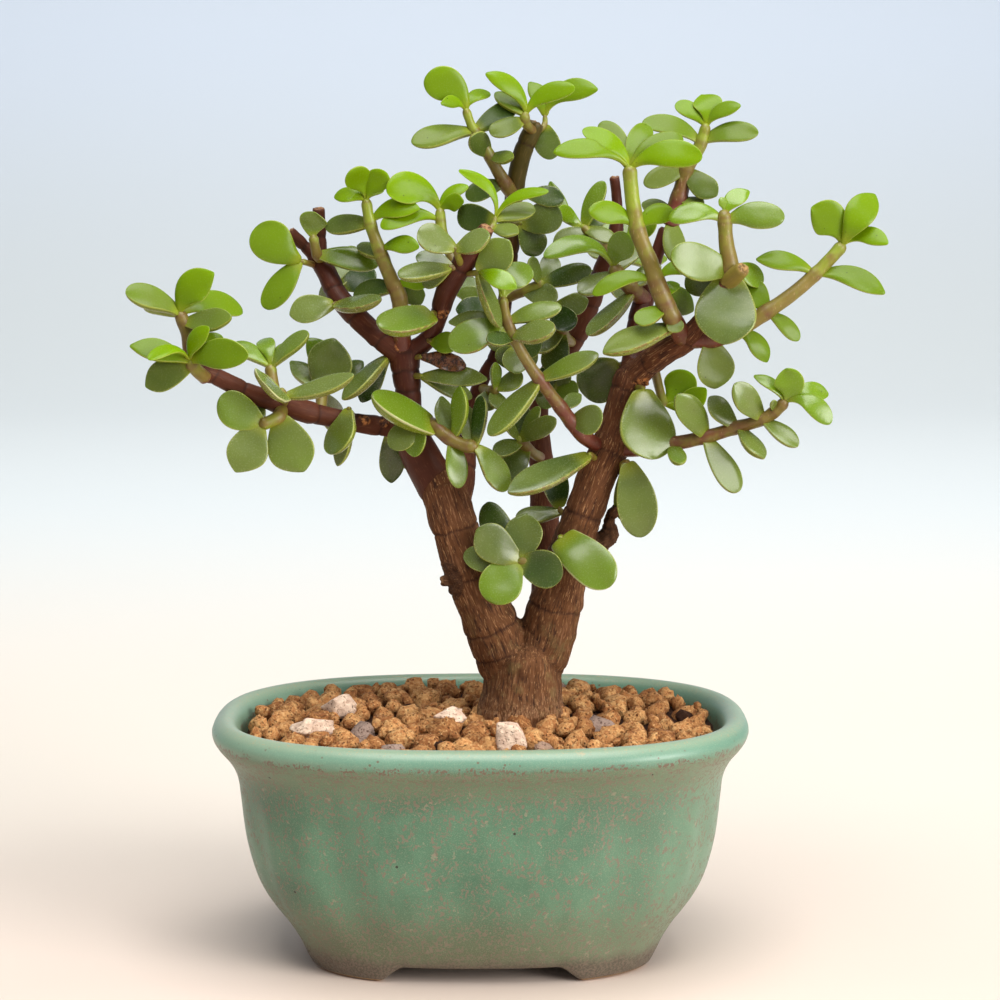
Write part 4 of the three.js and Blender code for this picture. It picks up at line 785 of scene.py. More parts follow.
def bark_finish():
    """Bark by age: olive, reddish, then brown with dark clefts, pale strands and slivers along the grain."""
    bark = Finish("bark")
    place = bark.add("Attribute", attribute_name="bark_place").outputs["Vector"]
    age = bark.mark("age")
    ring = bark.mark("ring")
    scar = bark.mark("scar")
    cloud = bark.grain(4.5, 3)
    fibre = bark.grain(0.62, 4, 0.6, where=place)
    fine = bark.grain(0.3, 3, 0.65, where=place)
    old = bark.mix(cloud, colour(70, 44, 28), colour(120, 78, 46))
    middle = bark.mix(cloud, colour(58, 28, 17), colour(96, 50, 30))
    young = bark.mix(cloud, colour(62, 27, 20), colour(84, 40, 26))
    olive = bark.mix(cloud, colour(60, 52, 14), colour(80, 70, 24))
    olive = bark.mix(bark.between(age, -0.4, -0.7), olive, colour(124, 110, 48))
    young = bark.mix(bark.between(age, 0.1, -0.2), young, olive)
    body = bark.mix(bark.between(age, 0.22, 0.42), young, middle)
    body = bark.mix(bark.between(age, 0.45, 0.85), body, old)
    fibrous = bark.between(age, 0.42, 0.72, 0.1, 1)
    clefts = bark.reckon("MULTIPLY", bark.between(fibre, 0.48, 0.34), fibrous)
    body = bark.mix(bark.reckon("MULTIPLY", clefts, 0.75), body, colour(40, 24, 20))
    strands = bark.reckon("MULTIPLY", bark.between(fibre, 0.56, 0.66), fibrous)
    body = bark.mix(bark.reckon("MULTIPLY", strands, 0.5), body, colour(150, 108, 78))
    slivers = bark.reckon("MULTIPLY", bark.between(fine, 0.585, 0.66), bark.between(age, 0.4, 0.72, 0.15, 1))
    body = bark.mix(bark.reckon("MULTIPLY", slivers, 0.6), body, colour(190, 144, 100))
    mossy = bark.between(bark.grain(5, 4, 0.65), 0.5, 0.66, 0, 0.35)
    mossy = bark.reckon("MULTIPLY", mossy, bark.between(bark.axis("Z"), 96 * MM, 70 * MM))
    body = bark.mix(mossy, body, colour(136, 118, 76))
    root = bark.between(bark.axis("Z"), 66 * MM, 60 * MM, 0, 0.4)
    body = bark.mix(bark.reckon("MULTIPLY", root, bark.between(fine, 0.45, 0.6)), body, colour(184, 142, 104))
    body = bark.mix(bark.reckon("MULTIPLY", ring, 0.7), body, colour(44, 22, 16))
    body = bark.mix(bark.between(age, 1.05, 1.15, 0, 0.6), body, colour(58, 38, 26))
    ragged = bark.between(bark.grain(1.1, 4, 0.7), 0.42, 0.6)
    torn = bark.mix(ragged, colour(60, 32, 22), colour(172, 112, 64))
    body = bark.mix(bark.between(scar, 0.15, 0.6), body, torn)
    papery = bark.mix(bark.between(bark.grain(0.8, 3), 0.4, 0.62), colour(84, 54, 36), colour(172, 132, 92))
    body = bark.mix(bark.mark("cut"), body, papery)
    fibre = bark.reckon("MULTIPLY", fibre, fibrous)
    fine = bark.reckon("MULTIPLY", fine, fibrous)
    bark.relief([(fibre, 0.7, 0.3), (fine, 0.6, 0.14), (bark.grain(1.4, 3), 0.15, 0.12)])
    bark.set(Base_Color=body, Roughness=bark.between(age, 0.2, 0.7, 0.42, 0.85))
    bark.shader.inputs["Specular IOR Level"].default_value = 0.2
    return bark.material


wood = finished(tree, "trunk_and_limbs_wood", bark_finish())
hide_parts("trunk_and_limbs")

# Shoots: 51 young stems with fleshy leaves in pairs, each rooted in its limb and made as one piece, and three
# small twigs seen between the limbs, which the model leaves out. A stem is a ball of faces drawn out along
# its route, and a leaf is one drawn out to a spoon.

# A stem's points are (x, y, z) as the limbs' are, and girth is its radius at the foot and the tip. A leaf is
# (foot x, foot z, tip x, tip z, tip y, facing, width, youth): facing turns its upper face from the sky (0)
# toward the viewer (90 degrees), and youth turns it from dark green (0) to yellow-green (1). tone is the
# stem's own colour, from maroon (0) to green (1). brown_rims, pale_rims and ovals number the leaves that have
# a worn rim, a pale rim or an oval outline.
shoots = {
    "far_left_upright_shoot": {
        "young": True, "girth": (1.5, 1.2), "tone": (0.2, 0.7),
        "stem": [(-65.2, -12.6, 142.6), (-68.3, -12.4, 147), (-69, -13, 151.5), (-71, -14, 157.2)],
        "leaves": [
            (-70.6, 156.8, -83.5, 161.4, -17, 45, 7, 0.6), (-70.8, 157, -62.3, 165.8, -16, 78, 7.5, 0.8),
            (-70.6, 156, -79, 158, -6, 40, 4.5, 0.5), (-70.4, 156, -55.6, 156.6, -5, 60, 6, 0.7),
            (-69.8, 154, -58.5, 155.3, -21, 65, 5.5, 0.35),
        ],
    },
    "far_left_front_shoot": {
        "young": True, "girth": (1.4, 1.2), "tone": (0.2, 0.8),
        "stem": [(-64.8, -15.4, 140.8), (-67.2, -18.2, 143), (-68.9, -20, 145.8)],
        "leaves": [
            (-68.8, 146, -82.8, 148.6, -21, 60, 5.5, 0.65), (-68.8, 145.9, -78.4, 145.2, -28, 30, 3.6, 0.9),
            (-68.8, 146, -63.8, 153, -24, 60, 4.2, 0.95), (-68.5, 145.6, -60.6, 150.8, -16, 70, 4.5, 0.6),
            (-68.6, 145.8, -54.6, 146.2, -28, 72, 6.8, 0.7), (-68, 144.6, -79.3, 138.8, -19, 78, 6.8, 0.3),
        ],
    },
    "low_left_top_shoot": {
        "girth": (1.3, 1.1),
        "stem": [(-48.4, -8, 136), (-49.2, -6.5, 141), (-49.5, -5.5, 144.8)],
        "leaves": [
            (-49.6, 144.4, -59, 149, -3, 45, 4.8, 0.6), (-49.3, 144.5, -40.3, 151.7, -8, 55, 4.6, 0.4),
            (-49.5, 144.6, -51.4, 150, 2, 75, 4.2, 0.75), (-49.4, 144.2, -44.2, 149.6, 0, 65, 4, 0.45),
        ],
    },
    "low_left_lens_shoot": {
        "girth": (1.4, 1.5), "pale_rims": (0,), "ovals": (0,),
        "stem": [(-46.2, -9, 134.8), (-46.6, -12.5, 137), (-47, -13.5, 139)],
        "leaves": [
            (-47, 139, -51.3, 139.9, -22, 22, 10, 0.45), (-46.5, 136.6, -29.6, 141.6, -17, 50, 5.4, 0.35),
        ],
    },
    "low_left_hanging_shoot": {
        "girth": (1.4, 1.2),
        "stem": [(-46.8, -8, 134), (-47.6, -12, 131.6), (-50.2, -13.5, 130.3), (-52.8, -14, 129.4)],
        "leaves": [
            (-52.7, 129.4, -61.8, 136.2, -15, 75, 8, 0.45), (-52.8, 129.4, -58.2, 118.2, -18, 84, 9, 0.5),
            (-52, 129.8, -53.6, 134.6, -7, 80, 4.4, 0.2), (-47.6, 131.6, -41.8, 118.3, -15, 86, 10.2, 0.4),
        ],
    },
    "low_left_dark_shoot": {
        "girth": (1.2, 1.1),
        "stem": [(-37.6, -4, 132), (-37.4, -1, 135.5), (-37.2, 1, 138.8)],
        "leaves": [
            (-37.2, 138.6, -34.4, 150.3, -1, 84, 10.4, 0.1), (-37.2, 138.6, -40.6, 150.3, 6, 75, 6.4, 0.85),
            (-37.3, 137.6, -44.8, 144.8, 6, 65, 5, 0.5), (-37.2, 138, -27.4, 144.8, 7, 60, 5.6, 0.4),
            (-37.4, 136.6, -33.4, 128.8, 14, 70, 6, 0.3),
        ],
    },
    "left_neck_leaves": {
        "girth": (1.2, 1.2),
        "stem": [(-19, 0, 145.8), (-22.6, -1.5, 145.5)],
        "leaves": [
            (-22.4, 145.5, -32.6, 135.6, -6, 45, 5.6, 0.35), (-22.2, 145.5, -28, 134.9, 2.5, 75, 6, 0.1),
        ],
    },
    "low_left_front_leaves": {
        "girth": (1.2, 1.1),
        "stem": [(-31.4, -3, 130.8), (-31, -6, 133), (-30.8, -8, 133.8)],
        "leaves": [
            (-30.8, 133.7, -35.5, 122.4, -10.5, 60, 8.6, 0.5),
            (-31.2, 132.5, -33.9, 119.6, -5, 60, 4.6, 0.3),
        ],
    },
    "left_fork_front_leaves": {
        "girth": (1.1, 1.1),
        "stem": [(-15, -1, 129.8), (-14.6, -5, 130.6), (-14.4, -7, 130.9)],
        "leaves": [
            (-14.4, 130.9, -21.2, 124, -8.5, 75, 6, 0.5), (-14.3, 130.9, -15.4, 121.8, -9.5, 70, 5.6, 0.45),
        ],
    },
    "left_fork_rear_leaf": {
        "girth": (1.1, 1),
        "stem": [(-21.4, 2, 129), (-21.5, 4, 126.4)],
        "leaves": [
            (-21.5, 126.6, -21, 115.5, 5, 82, 5.8, 0.1), (-21.5, 127, -13.4, 120.6, 14, 75, 6.4, 0.3),
        ],
    },
    "upper_left_broad_leaves": {
        "young": True, "girth": (1.2, 1.1),
        "stem": [(-38.6, 7, 167.6), (-41, 4.5, 168.2), (-42.6, 3.5, 168.8)],
        "leaves": [
            (-42.5, 168.8, -52.6, 176.4, 2, 76, 9.4, 0.7), (-42.3, 168.6, -50.6, 157.2, 1.5, 76, 6.2, 0.6),
        ],
    },
    "upper_left_short_shoot": {
        "girth": (1.1, 0.9),
        "stem": [(-37, 7.5, 168.6), (-38, 4, 170), (-38.6, 2.5, 172.6), (-39, 2.5, 175.2)],
        "leaves": [
            (-39, 175.2, -38.6, 180, 1, 85, 6.4, 0.65), (-38, 170, -23.6, 167.3, 1.5, 65, 5.8, 0.55),
        ],
    },
    "upper_left_rear_leaf": {
        "girth": (1.1, 1),
        "stem": [(-34, 5, 162.2), (-32.4, 11.5, 162.6)],
        "leaves": [
            (-32.5, 162.6, -24.4, 166.2, 15, 76, 6.4, 0.15), (-32.6, 162.6, -37.4, 157.6, 20, 70, 6.2, 0.4),
            (-32.4, 162.6, -29.6, 172, 20, 75, 6, 0.5),
        ],
    },
    "upper_left_low_leaves": {
        "girth": (1.2, 1.1), "brown_rims": (1,),
        "stem": [(-32, 3, 158.2), (-34.8, 0, 158.3)],
        "leaves": [
            (-34.8, 158.3, -44.8, 155.8, -2, 76, 6.4, 0.5), (-34.2, 158.2, -23.1, 159.4, -8, 45, 5.6, 0.35),
        ],
    },
    "left_middle_broad_leaf": {
        "girth": (1.1, 1.1), "brown_rims": (0,), "ovals": (0,),
        "stem": [(-9.8, -6, 155.8), (-11.4, -10, 156.2)],
        "leaves": [(-11.4, 156.2, -23.7, 152.9, -17, 56, 9.4, 0.45)],
    },
    "upper_left_tall_shoot": {
        "young": True, "girth": (1.9, 1), "tone": (0.15, 1),
        "stem": [
            (-18, -1, 146.5), (-18.3, -3, 154), (-18.8, -4, 160), (-20.6, -4, 164), (-22.4, -4, 168.6),
            (-24.4, -4, 174), (-25.7, -4, 178.5), (-26.4, -4, 183.4),
        ],
        "leaves": [
            (-26.4, 183.4, -30.8, 188.8, -9, 80, 6, 0.95), (-26.4, 183.4, -21, 188.6, -7, 75, 5.4, 0.95),
            (-26.3, 182.4, -33.9, 183.4, -2, 55, 4, 0.9), (-26.2, 182, -22.4, 185.2, 1, 60, 3, 0.9),
            (-25.6, 177.4, -36, 176.6, 2, 65, 5, 0.3), (-25.4, 177.4, -13.7, 180.7, -7, 60, 5, 0.8),
            (-23.4, 171, -13.9, 171.6, -8, 60, 4.6, 0.75), (-22.8, 169.6, -28, 172.6, 3, 65, 4.2, 0.3),
            (-19.6, 161.8, -29.6, 160.6, 1, 65, 5, 0.25), (-19.4, 162, -12, 162.8, -6, 70, 4, 0.75),
            (-18.8, 159.8, -12.6, 160.2, 2, 76, 5, 0.35),
        ],
    },
    "middle_left_young_shoot": {
        "young": True, "girth": (1.2, 0.9), "tone": (0.3, 1),
        "stem": [(-4.6, -11, 166), (-7, -7, 171), (-8.6, -5.5, 176), (-9, -4, 181.2)],
        "leaves": [
            (-9, 180.4, -21.6, 184.8, -8, 70, 7.6, 0.95), (-9, 181, -2.2, 185.9, -3, 50, 3.6, 0.95),
            (-9, 180, -3.3, 182.2, -8, 80, 4.2, 0.95), (-8.8, 177.8, -23, 176.2, -7, 66, 4.8, 0.8),
        ],
    },
    "middle_left_boat_leaves": {
        "girth": (1.3, 1.2), "brown_rims": (0, 1),
        "stem": [(-4, -13, 167.4), (-4.9, -16, 169.6), (-5.6, -17.5, 172)],
        "leaves": [
            (-5.6, 172, -14.2, 175.6, -18, 66, 6.8, 0.5), (-5.4, 171.8, 2.8, 174.4, -21.5, 56, 6.6, 0.5),
        ],
    },
    "middle_left_lens_leaves": {
        "girth": (1.1, 1.1),
        "stem": [(-4.6, -12, 166.4), (-7.6, -14, 167.2)],
        "leaves": [
            (-7.4, 167.2, -19.1, 165.1, -17, 52, 5.4, 0.3), (-7, 167, -14.6, 169.8, -9.5, 65, 4.8, 0.25),
            (-7, 166.8, -13.4, 163.2, -8.5, 70, 5, 0.55),
        ],
    },
    "middle_ring_leaves": {
        "girth": (1.2, 1.1), "brown_rims": (0,),
        "stem": [(-2.4, -12, 165.4), (0.8, -16, 165.6)],
        "leaves": [
            (0.8, 165.6, 5, 152.5, -18, 50, 5, 0.45), (0.8, 165.8, 7.4, 173.2, -17, 80, 7.6, 0.35),
            (0.8, 165.6, 9, 161.8, -21.5, 65, 4.6, 0.95),
        ],
    },
    "middle_yellow_shoot": {
        "young": True, "girth": (1, 0.9), "tone": (0.5, 1),
        "stem": [(1.6, -15, 174), (3.4, -12.5, 176.6), (4.3, -12, 179.4)],
        "leaves": [
            (4.3, 179.4, -4.6, 189.6, -13, 50, 3, 1), (4.3, 179.3, 16.6, 184.6, -15, 45, 3.2, 1),
            (3.2, 176.4, 9.5, 174.9, -16, 66, 4.4, 0.45), (3.9, 178, 13.4, 180.7, -10, 66, 5, 0.3),
            (3.8, 178, -4.9, 179.4, -5, 76, 6, 0.15),
        ],
    },
    "top_limb_side_leaves": {
        "girth": (1.2, 1.1),
        "stem": [(8.2, 9, 176.6), (10.4, 5.5, 177.4)],
        "leaves": [
            (10.4, 177.4, 19.8, 178.8, 3, 80, 7.2, 0.1), (10.2, 177.2, 14.4, 169.6, 6.5, 80, 6.4, 0.15),
        ],
    },
    "top_left_shoot": {
        "young": True, "girth": (1.5, 0.8), "tone": (0.3, 0.95),
        "stem": [
            (8.3, 8, 183.6), (6, 5, 187), (3.5, 4, 191.4), (0.6, 3, 197), (-1.4, 2.5, 199.8),
            (-3, 2, 204.4),
        ],
        "leaves": [
            (-3, 204.4, -12.6, 210.4, 0, 76, 7.8, 0.9), (-3, 204.4, 3, 207.4, 6, 60, 3.6, 0.85),
            (-2.8, 203.8, -8.6, 205, -3, 55, 3, 0.85), (-0.6, 198.8, -15.6, 195.9, -2, 64, 5.8, 0.6),
            (-0.4, 198.6, 9.4, 205, 6, 72, 5, 0.2), (2.9, 192.6, -1.7, 197.2, -3, 76, 5.2, 0.2),
            (2.9, 192.6, 8.2, 192.6, -2, 66, 3.6, 0.45), (6.3, 186.6, -2.9, 183.2, 3, 80, 4.6, 0.1),
        ],
    },
    "top_tip_left_shoot": {
        "young": True, "girth": (1, 0.9),
        "stem": [(13, 7, 198.6), (11, 3.5, 200.8), (11.6, 3, 203.6)],
        "leaves": [
            (11.5, 203.4, 1.8, 212, 1, 55, 4.6, 0.8), (11.5, 203, 4, 207.6, 6, 66, 4, 0.45),
            (11.6, 203.4, 22.8, 208.6, 1, 64, 4.6, 0.75), (11, 201, 2.8, 198.2, -1, 72, 4.4, 0.25),
        ],
    },
    "top_tip_right_shoot": {
        "young": True, "girth": (1, 0.9),
        "stem": [(13.4, 9, 198), (15.6, 11.5, 200), (15.6, 12, 203.2)],
        "leaves": [
            (15.6, 203.2, 28.2, 208.2, 9, 70, 5.4, 0.8), (15.4, 200, 17, 192, 8.5, 80, 6, 0.1),
            (15.6, 203.2, 12, 210, 15, 75, 4.6, 0.6),
        ],
    },
    "top_limb_grey_leaf": {
        "girth": (1.2, 1.1),
        "stem": [(9.2, 8, 182.4), (12, 5, 184.6)],
        "leaves": [(11.7, 184.8, 20.2, 182.6, 3, 72, 5, 0.2)],
    },
    "rear_small_shoot": {
        "girth": (1.1, 1),
        "stem": [(31.6, 20.5, 170), (28.6, 16.5, 172.8), (23.8, 16, 176.8)],
        "leaves": [
            (23.8, 176.8, 16.9, 187, 15, 66, 4.4, 0.75), (23.9, 176.6, 18.8, 180.2, 11, 66, 3.8, 0.9),
            (23.8, 176.8, 29.6, 187, 18, 66, 4.6, 0.5), (24.4, 176.4, 30, 180.6, 19, 75, 5.6, 0.1),
            (25.2, 175.6, 32.4, 172.9, 12, 64, 4.4, 0.45), (26.4, 174.4, 17.6, 171.9, 12, 76, 5.6, 0.15),
        ],
    },
    "centre_right_lens_shoot": {
        "girth": (1.8, 1.4), "tone": (0.1, 0.7), "brown_rims": (5,),
        "stem": [(39.2, 8, 159), (36.6, 4.5, 161.4), (33.4, 3, 164.6), (31, 2, 167.7)],
        "leaves": [
            (31, 167.7, 15.3, 169.3, -2, 50, 5.2, 0.85), (31, 167.7, 35.6, 174.4, -1, 76, 6.4, 0.75),
            (32.4, 165.8, 37.8, 171.4, 7, 66, 4.8, 0.3), (32.6, 165.4, 23.5, 160.9, -2, 64, 5.6, 0.3),
            (35.6, 162.4, 43, 167.4, 5.5, 66, 4.8, 0.35), (36.6, 161.4, 25.8, 150.8, -7, 55, 5.4, 0.3),
        ],
    },
    "centre_small_shoot": {
        "girth": (1.1, 0.9),
        "stem": [(6.4, 11, 159.4), (10.6, 6.5, 161.2), (15.8, 4, 163.4)],
        "leaves": [
            (15.8, 163.4, 12.3, 169.2, 2, 55, 3.6, 0.5), (15.8, 163.4, 17.4, 169.8, 8, 76, 4.8, 0.45),
            (15.8, 163.4, 26.7, 166.3, 2, 70, 5, 0.2), (10.6, 161.2, 18.3, 158.7, 0.5, 72, 5.6, 0.3),
        ],
    },
    "front_middle_shoot": {
        "girth": (1.6, 0.9), "tone": (0.02, 0.7), "brown_rims": (3, 6),
        "stem": [
            (29, -3, 124.2), (24.8, -8, 126.6), (21.6, -10, 130.6), (18.4, -12, 134.8), (14.8, -14, 139.6),
            (11.4, -14.5, 144.6), (8.6, -15, 149.6), (7, -15, 153.4), (6.1, -14, 157), (5.6, -13, 160.6),
        ],
        "leaves": [
            (14.4, 140.2, 2.2, 126.9, -17, 62, 6.2, 0.4), (14.4, 140.2, 28.4, 146.3, -17, 64, 5.2, 0.4),
            (6.9, 153.8, 19.7, 157.4, -17, 66, 4.8, 0.55), (7.4, 152.4, -7, 147.9, -16, 66, 8, 0.6),
            (7, 153.6, -7.2, 153.9, -11, 64, 4.4, 0.35), (8.2, 150.4, 2, 149.6, -21, 66, 3.8, 0.1),
            (8.2, 150.6, 17.8, 152, -25, 52, 6.4, 0.35), (5.7, 160, 12.7, 166.4, -8, 76, 6.6, 0.7),
            (5.7, 160, 1.8, 166.8, -6, 70, 5, 0.8), (22.2, 129.8, 29.4, 131.2, -15, 74, 6.6, 0.45),
            (19.4, 133.4, 24.2, 136.8, -6, 72, 3.4, 0.3),
        ],
    },
    "right_limb_dark_leaf": {
        "girth": (1.2, 1.1),
        "stem": [(34.6, 0, 143), (33.2, 4.6, 144)],
        "leaves": [(33.3, 144, 25, 136.2, 6, 85, 10.2, 0.1)],
    },
    "left_middle_low_shoot": {
        "girth": (1.6, 1.2), "tone": (0.3, 0.55), "brown_rims": (2,), "pale_rims": (6,), "ovals": (6,),
        "stem": [
            (-13.6, -2, 130.6), (-10.2, -7, 128.8), (-7.2, -9, 126.4), (-3, -11, 124.4), (0.2, -12, 124.6),
        ],
        "leaves": [
            (-6.6, 126.2, -4.6, 138.8, -12, 55, 5, 0.6), (-6.6, 126, -5, 114.2, -11.5, 76, 5, 0.5),
            (0, 124.6, 6.1, 113.3, -15, 66, 6.6, 0.6), (0.1, 124.6, 0.6, 136.4, -10, 66, 4, 0.15),
            (-7.4, 126.6, -9, 136.4, -5.5, 72, 4.4, 0.15), (-2.4, 124.4, -2.6, 134, -6.5, 80, 4.4, 0.25),
            (-10.6, 129.2, -25.5, 136.8, -13.5, 50, 8.4, 0.5),
        ],
    },
    "left_neck_long_leaves": {
        "girth": (1.2, 1.1),
        "stem": [(-16.4, -1, 141.2), (-13, -4.6, 141.2)],
        "leaves": [(-13, 141.2, 2, 140.4, -9, 68, 4.8, 0.4), (-13.4, 141.1, -1.6, 136, 1.5, 64, 4.4, 0.3)],
    },
    "left_neck_dried_leaf": {
        "dry": True, "girth": (1, 1),
        "stem": [(-15.8, -1, 145.6), (-13.2, -4.6, 145.8)],
        "leaves": [(-13.2, 145.8, -3, 143.2, -8, 78, 4.2, 0)],
    },
    "left_middle_bright_leaf": {
        "young": True, "girth": (1, 1),
        "stem": [(-12, -3, 149.8), (-11, -6.4, 149.2)],
        "leaves": [(-11, 149.2, -4.7, 149.1, -8, 76, 5, 0.7)],
    },
    "top_limb_middle_leaves": {
        "girth": (1.1, 1),
        "stem": [(6.2, 11, 157.6), (3.8, 7.5, 157.6)],
        "leaves": [
            (3.9, 157.6, -5.4, 156.8, 5, 80, 5.8, 0.05), (4, 157.6, -4.4, 161.6, 9, 76, 5, 0.6),
            (4.6, 157.6, -7.6, 165.4, 20, 70, 6, 0.4),
            (5.2, 157.2, 4.5, 146.8, 9, 80, 6, 0.3),
        ],
    },
    "rear_limb_leaves": {
        "girth": (1.1, 1),
        "stem": [(22, 22.4, 149), (20.4, 16, 150.6), (18, 12, 155.4), (18.2, 12, 158.8)],
        "leaves": [
            (18.2, 158.8, 26, 159, 11, 74, 5.2, 0.35), (18, 157.6, 22.4, 152.4, 8, 80, 6, 0.15),
            (19.2, 151.8, 13.6, 146.8, 9, 66, 4.4, 0.4),
            (19.4, 152, 16.6, 142.1, 12, 76, 6.4, 0.15),
        ],
    },
    "right_tall_shoot": {
        "young": True, "girth": (1.9, 1.4), "tone": (0.25, 0.95), "brown_rims": (10, 11),
        "stem": [
            (48.6, -13, 149.6), (46, -16, 154.4), (44, -16.5, 158.4), (42.2, -16.5, 162.8),
            (40.6, -16, 167.6), (38.4, -16, 172.8), (37.3, -15.5, 176.4), (36.6, -15.5, 180.4),
            (36, -15, 185), (35.5, -15, 191),
        ],
        "leaves": [
            (35.5, 190.6, 17.6, 193.6, -18, 60, 5, 0.75), (35.5, 190.9, 24.4, 198.8, -14, 60, 4.8, 0.9),
            (35.5, 191, 28.8, 200.8, -9, 74, 5.4, 0.6), (35.5, 191, 39.8, 200, -8, 74, 5.2, 0.65),
            (35.6, 190.6, 52.7, 192.2, -19, 64, 6.4, 0.8), (35.6, 190.9, 48.2, 196.8, -12.5, 66, 5, 0.7),
            (37.5, 175.6, 25.9, 179.8, -19, 66, 5.2, 0.9), (37.5, 175.6, 46.4, 179.4, -14.5, 74, 4.8, 0.75),
            (42.1, 163.2, 53.1, 165.8, -17, 60, 3.8, 0.8), (42.1, 163, 26.9, 160.2, -18, 60, 4, 0.8),
            (44.6, 157, 37.2, 153.6, -20, 58, 4.8, 0.55), (46.8, 152.8, 29.3, 146.5, -22, 60, 6.8, 0.35),
            (45.6, 155.2, 47.4, 151.4, -19, 82, 3.8, 0.4), (43.9, 158.6, 47.4, 162.8, -13, 66, 3.4, 0.85),
            (44.9, 161.5, 50.8, 156.3, -7, 76, 6, 0.6),
        ],
    },
    "right_top_shoot": {
        "young": True, "girth": (2, 1), "tone": (0.1, 0.9),
        "stem": [
            (44.7, 13, 176.6), (46.4, 13, 180.4), (48, 13, 186), (49.1, 12.5, 190), (51, 12, 193),
            (52.4, 12, 196), (53.6, 12, 200.6),
        ],
        "leaves": [
            (53.6, 200.6, 46.2, 204.9, 14, 64, 4.4, 0.7), (53.6, 200.6, 52.4, 207, 16, 82, 6.8, 0.8),
            (53.5, 200.4, 61.6, 204.4, 10, 64, 3.8, 0.75), (52.5, 196.2, 65.8, 198, 9, 64, 5.2, 0.6),
            (52.2, 195.6, 38.4, 200.4, 11, 64, 4.8, 0.65), (48.8, 189.4, 38.9, 186.1, 10, 76, 4.8, 0.2),
            (49.1, 189.6, 56.2, 183.4, 9, 80, 5.8, 0.3), (45.2, 178, 46.8, 167.6, 5, 78, 5.4, 0.3),
            (45.7, 178.9, 38.4, 181.7, 16, 55, 5, 0.25),
            (47, 183.1, 52.9, 181, 9, 50, 4, 0.35),
        ],
    },
    "right_upright_shoot": {
        "girth": (2, 1.2), "tone": (0.5, 0.6),
        "stem": [
            (59, -14, 162.6), (59.4, -16.5, 166.4), (58.5, -16.5, 172), (58, -16.5, 177),
            (57.6, -16.5, 180.8),
        ],
        "leaves": [
            (57.9, 177.2, 44.9, 177.8, -18, 62, 4.8, 0.7), (58, 177, 72.1, 177.9, -19, 68, 6.2, 0.7),
            (57.9, 178.2, 63.8, 184.5, -14, 66, 4.4, 0.95), (57.6, 180.6, 56.8, 182.9, -17, 66, 2.2, 1),
            (59.2, 165.6, 45.4, 169.7, -23, 72, 8.2, 0.5), (59, 165, 48.7, 162, -11.5, 78, 7, 0.15),
            (59.4, 166.4, 67.2, 162.9, -12, 72, 5.2, 0.65), (59, 164.8, 58.2, 148.4, -23, 85, 13.4, 0.3),
        ],
    },
    "right_far_shoot": {
        "young": True, "girth": (1.7, 1.2), "tone": (0.15, 0.8),
        "stem": [
            (50.4, -13, 149.4), (57, -14.5, 150), (62, -15.5, 152.2), (68, -16, 156), (74, -16, 160.2),
            (79.3, -15.5, 164.8), (83, -15.5, 168.6), (86.4, -15, 172.4),
        ],
        "leaves": [
            (86.3, 172.3, 78.2, 180.6, -17, 80, 8.2, 0.85), (86.3, 172.3, 93.2, 183.8, -12, 76, 6.8, 0.8),
            (86.1, 172, 96.6, 172, -19, 64, 4.4, 0.8), (79.3, 164.8, 65.4, 168.5, -16.5, 62, 4.8, 0.7),
            (79.4, 165, 96.1, 160.2, -19, 62, 5.2, 0.7), (67.6, 155.8, 61, 162.6, -11.5, 76, 6.6, 0.65),
            (68, 156, 75.8, 149.2, -16.5, 64, 4, 0.65), (60.8, 151.6, 68.4, 144.1, -16, 66, 4.8, 0.7),
            (54.6, 149.8, 56.1, 137.8, -15, 80, 8.6, 0.35),
        ],
    },
    "right_low_shoot": {
        "girth": (1.6, 1.1), "tone": (0.12, 0.6),
        "stem": [
            (34, -3, 123.4), (41, -7, 123.8), (47, -9.5, 124.9), (54, -12, 126.4), (61, -14, 128.5),
            (67.3, -16.5, 130.5), (71, -17.5, 133), (73.4, -19, 135.6),
        ],
        "leaves": [
            (54, 126.5, 47, 136.4, -18, 72, 6.2, 0.4), (54.4, 126.4, 61.7, 113, -21, 76, 5.8, 0.35),
            (61, 128.6, 54.6, 136, -14, 72, 5.2, 0.3), (61.6, 128.8, 67.9, 121.2, -22.5, 58, 4.8, 0.5),
            (67.3, 130.4, 60.6, 139, -21, 72, 6, 0.35), (67.6, 130.6, 75.9, 124, -22, 64, 4.4, 0.5),
            (70, 132.2, 69.8, 134.9, -21, 66, 2, 0.3), (73.4, 135.4, 65.2, 141, -17, 50, 3.2, 0.7),
            (73.4, 135.5, 73, 142.8, -21, 80, 6.6, 0.95), (73.4, 135.5, 83.1, 136.4, -17, 66, 4.4, 0.8),
            (73, 135, 83.6, 129.3, -22.5, 66, 4.8, 0.9), (46.4, 124.8, 48, 120, -19, 78, 4, 0.5),
        ],
    },
    "right_limb_round_leaf": {
        "girth": (1.2, 1.1),
        "stem": [(36.4, -4, 138.6), (39.6, -8.4, 137.8)],
        "leaves": [(39.5, 137.8, 42, 121, -13, 72, 13.2, 0.35)],
    },
    "right_limb_hanging_leaves": {
        "girth": (1.2, 1.1),
        "stem": [(33, -3, 119.4), (35.9, -7.6, 120.8)],
        "leaves": [
            (36, 121.4, 38.6, 102.1, -9.5, 85, 9, 0.18), (35.4, 121.4, 34.2, 106.4, 3, 76, 5.4, 0.5),
        ],
    },
    "right_limb_long_leaf": {
        "girth": (1.2, 1.2), "brown_rims": (0,),
        "stem": [(28.2, -4, 121), (25.8, -9.4, 122.6)],
        "leaves": [(25.9, 122.6, 6.7, 113.2, -22, 56, 7.2, 0.2)],
    },
    "fork_cluster": {
        "girth": (1.4, 0.75),
        "stem": [(20, -2, 95.6), (14, -7.5, 96.4), (8.4, -9, 96.6)],
        "leaves": [
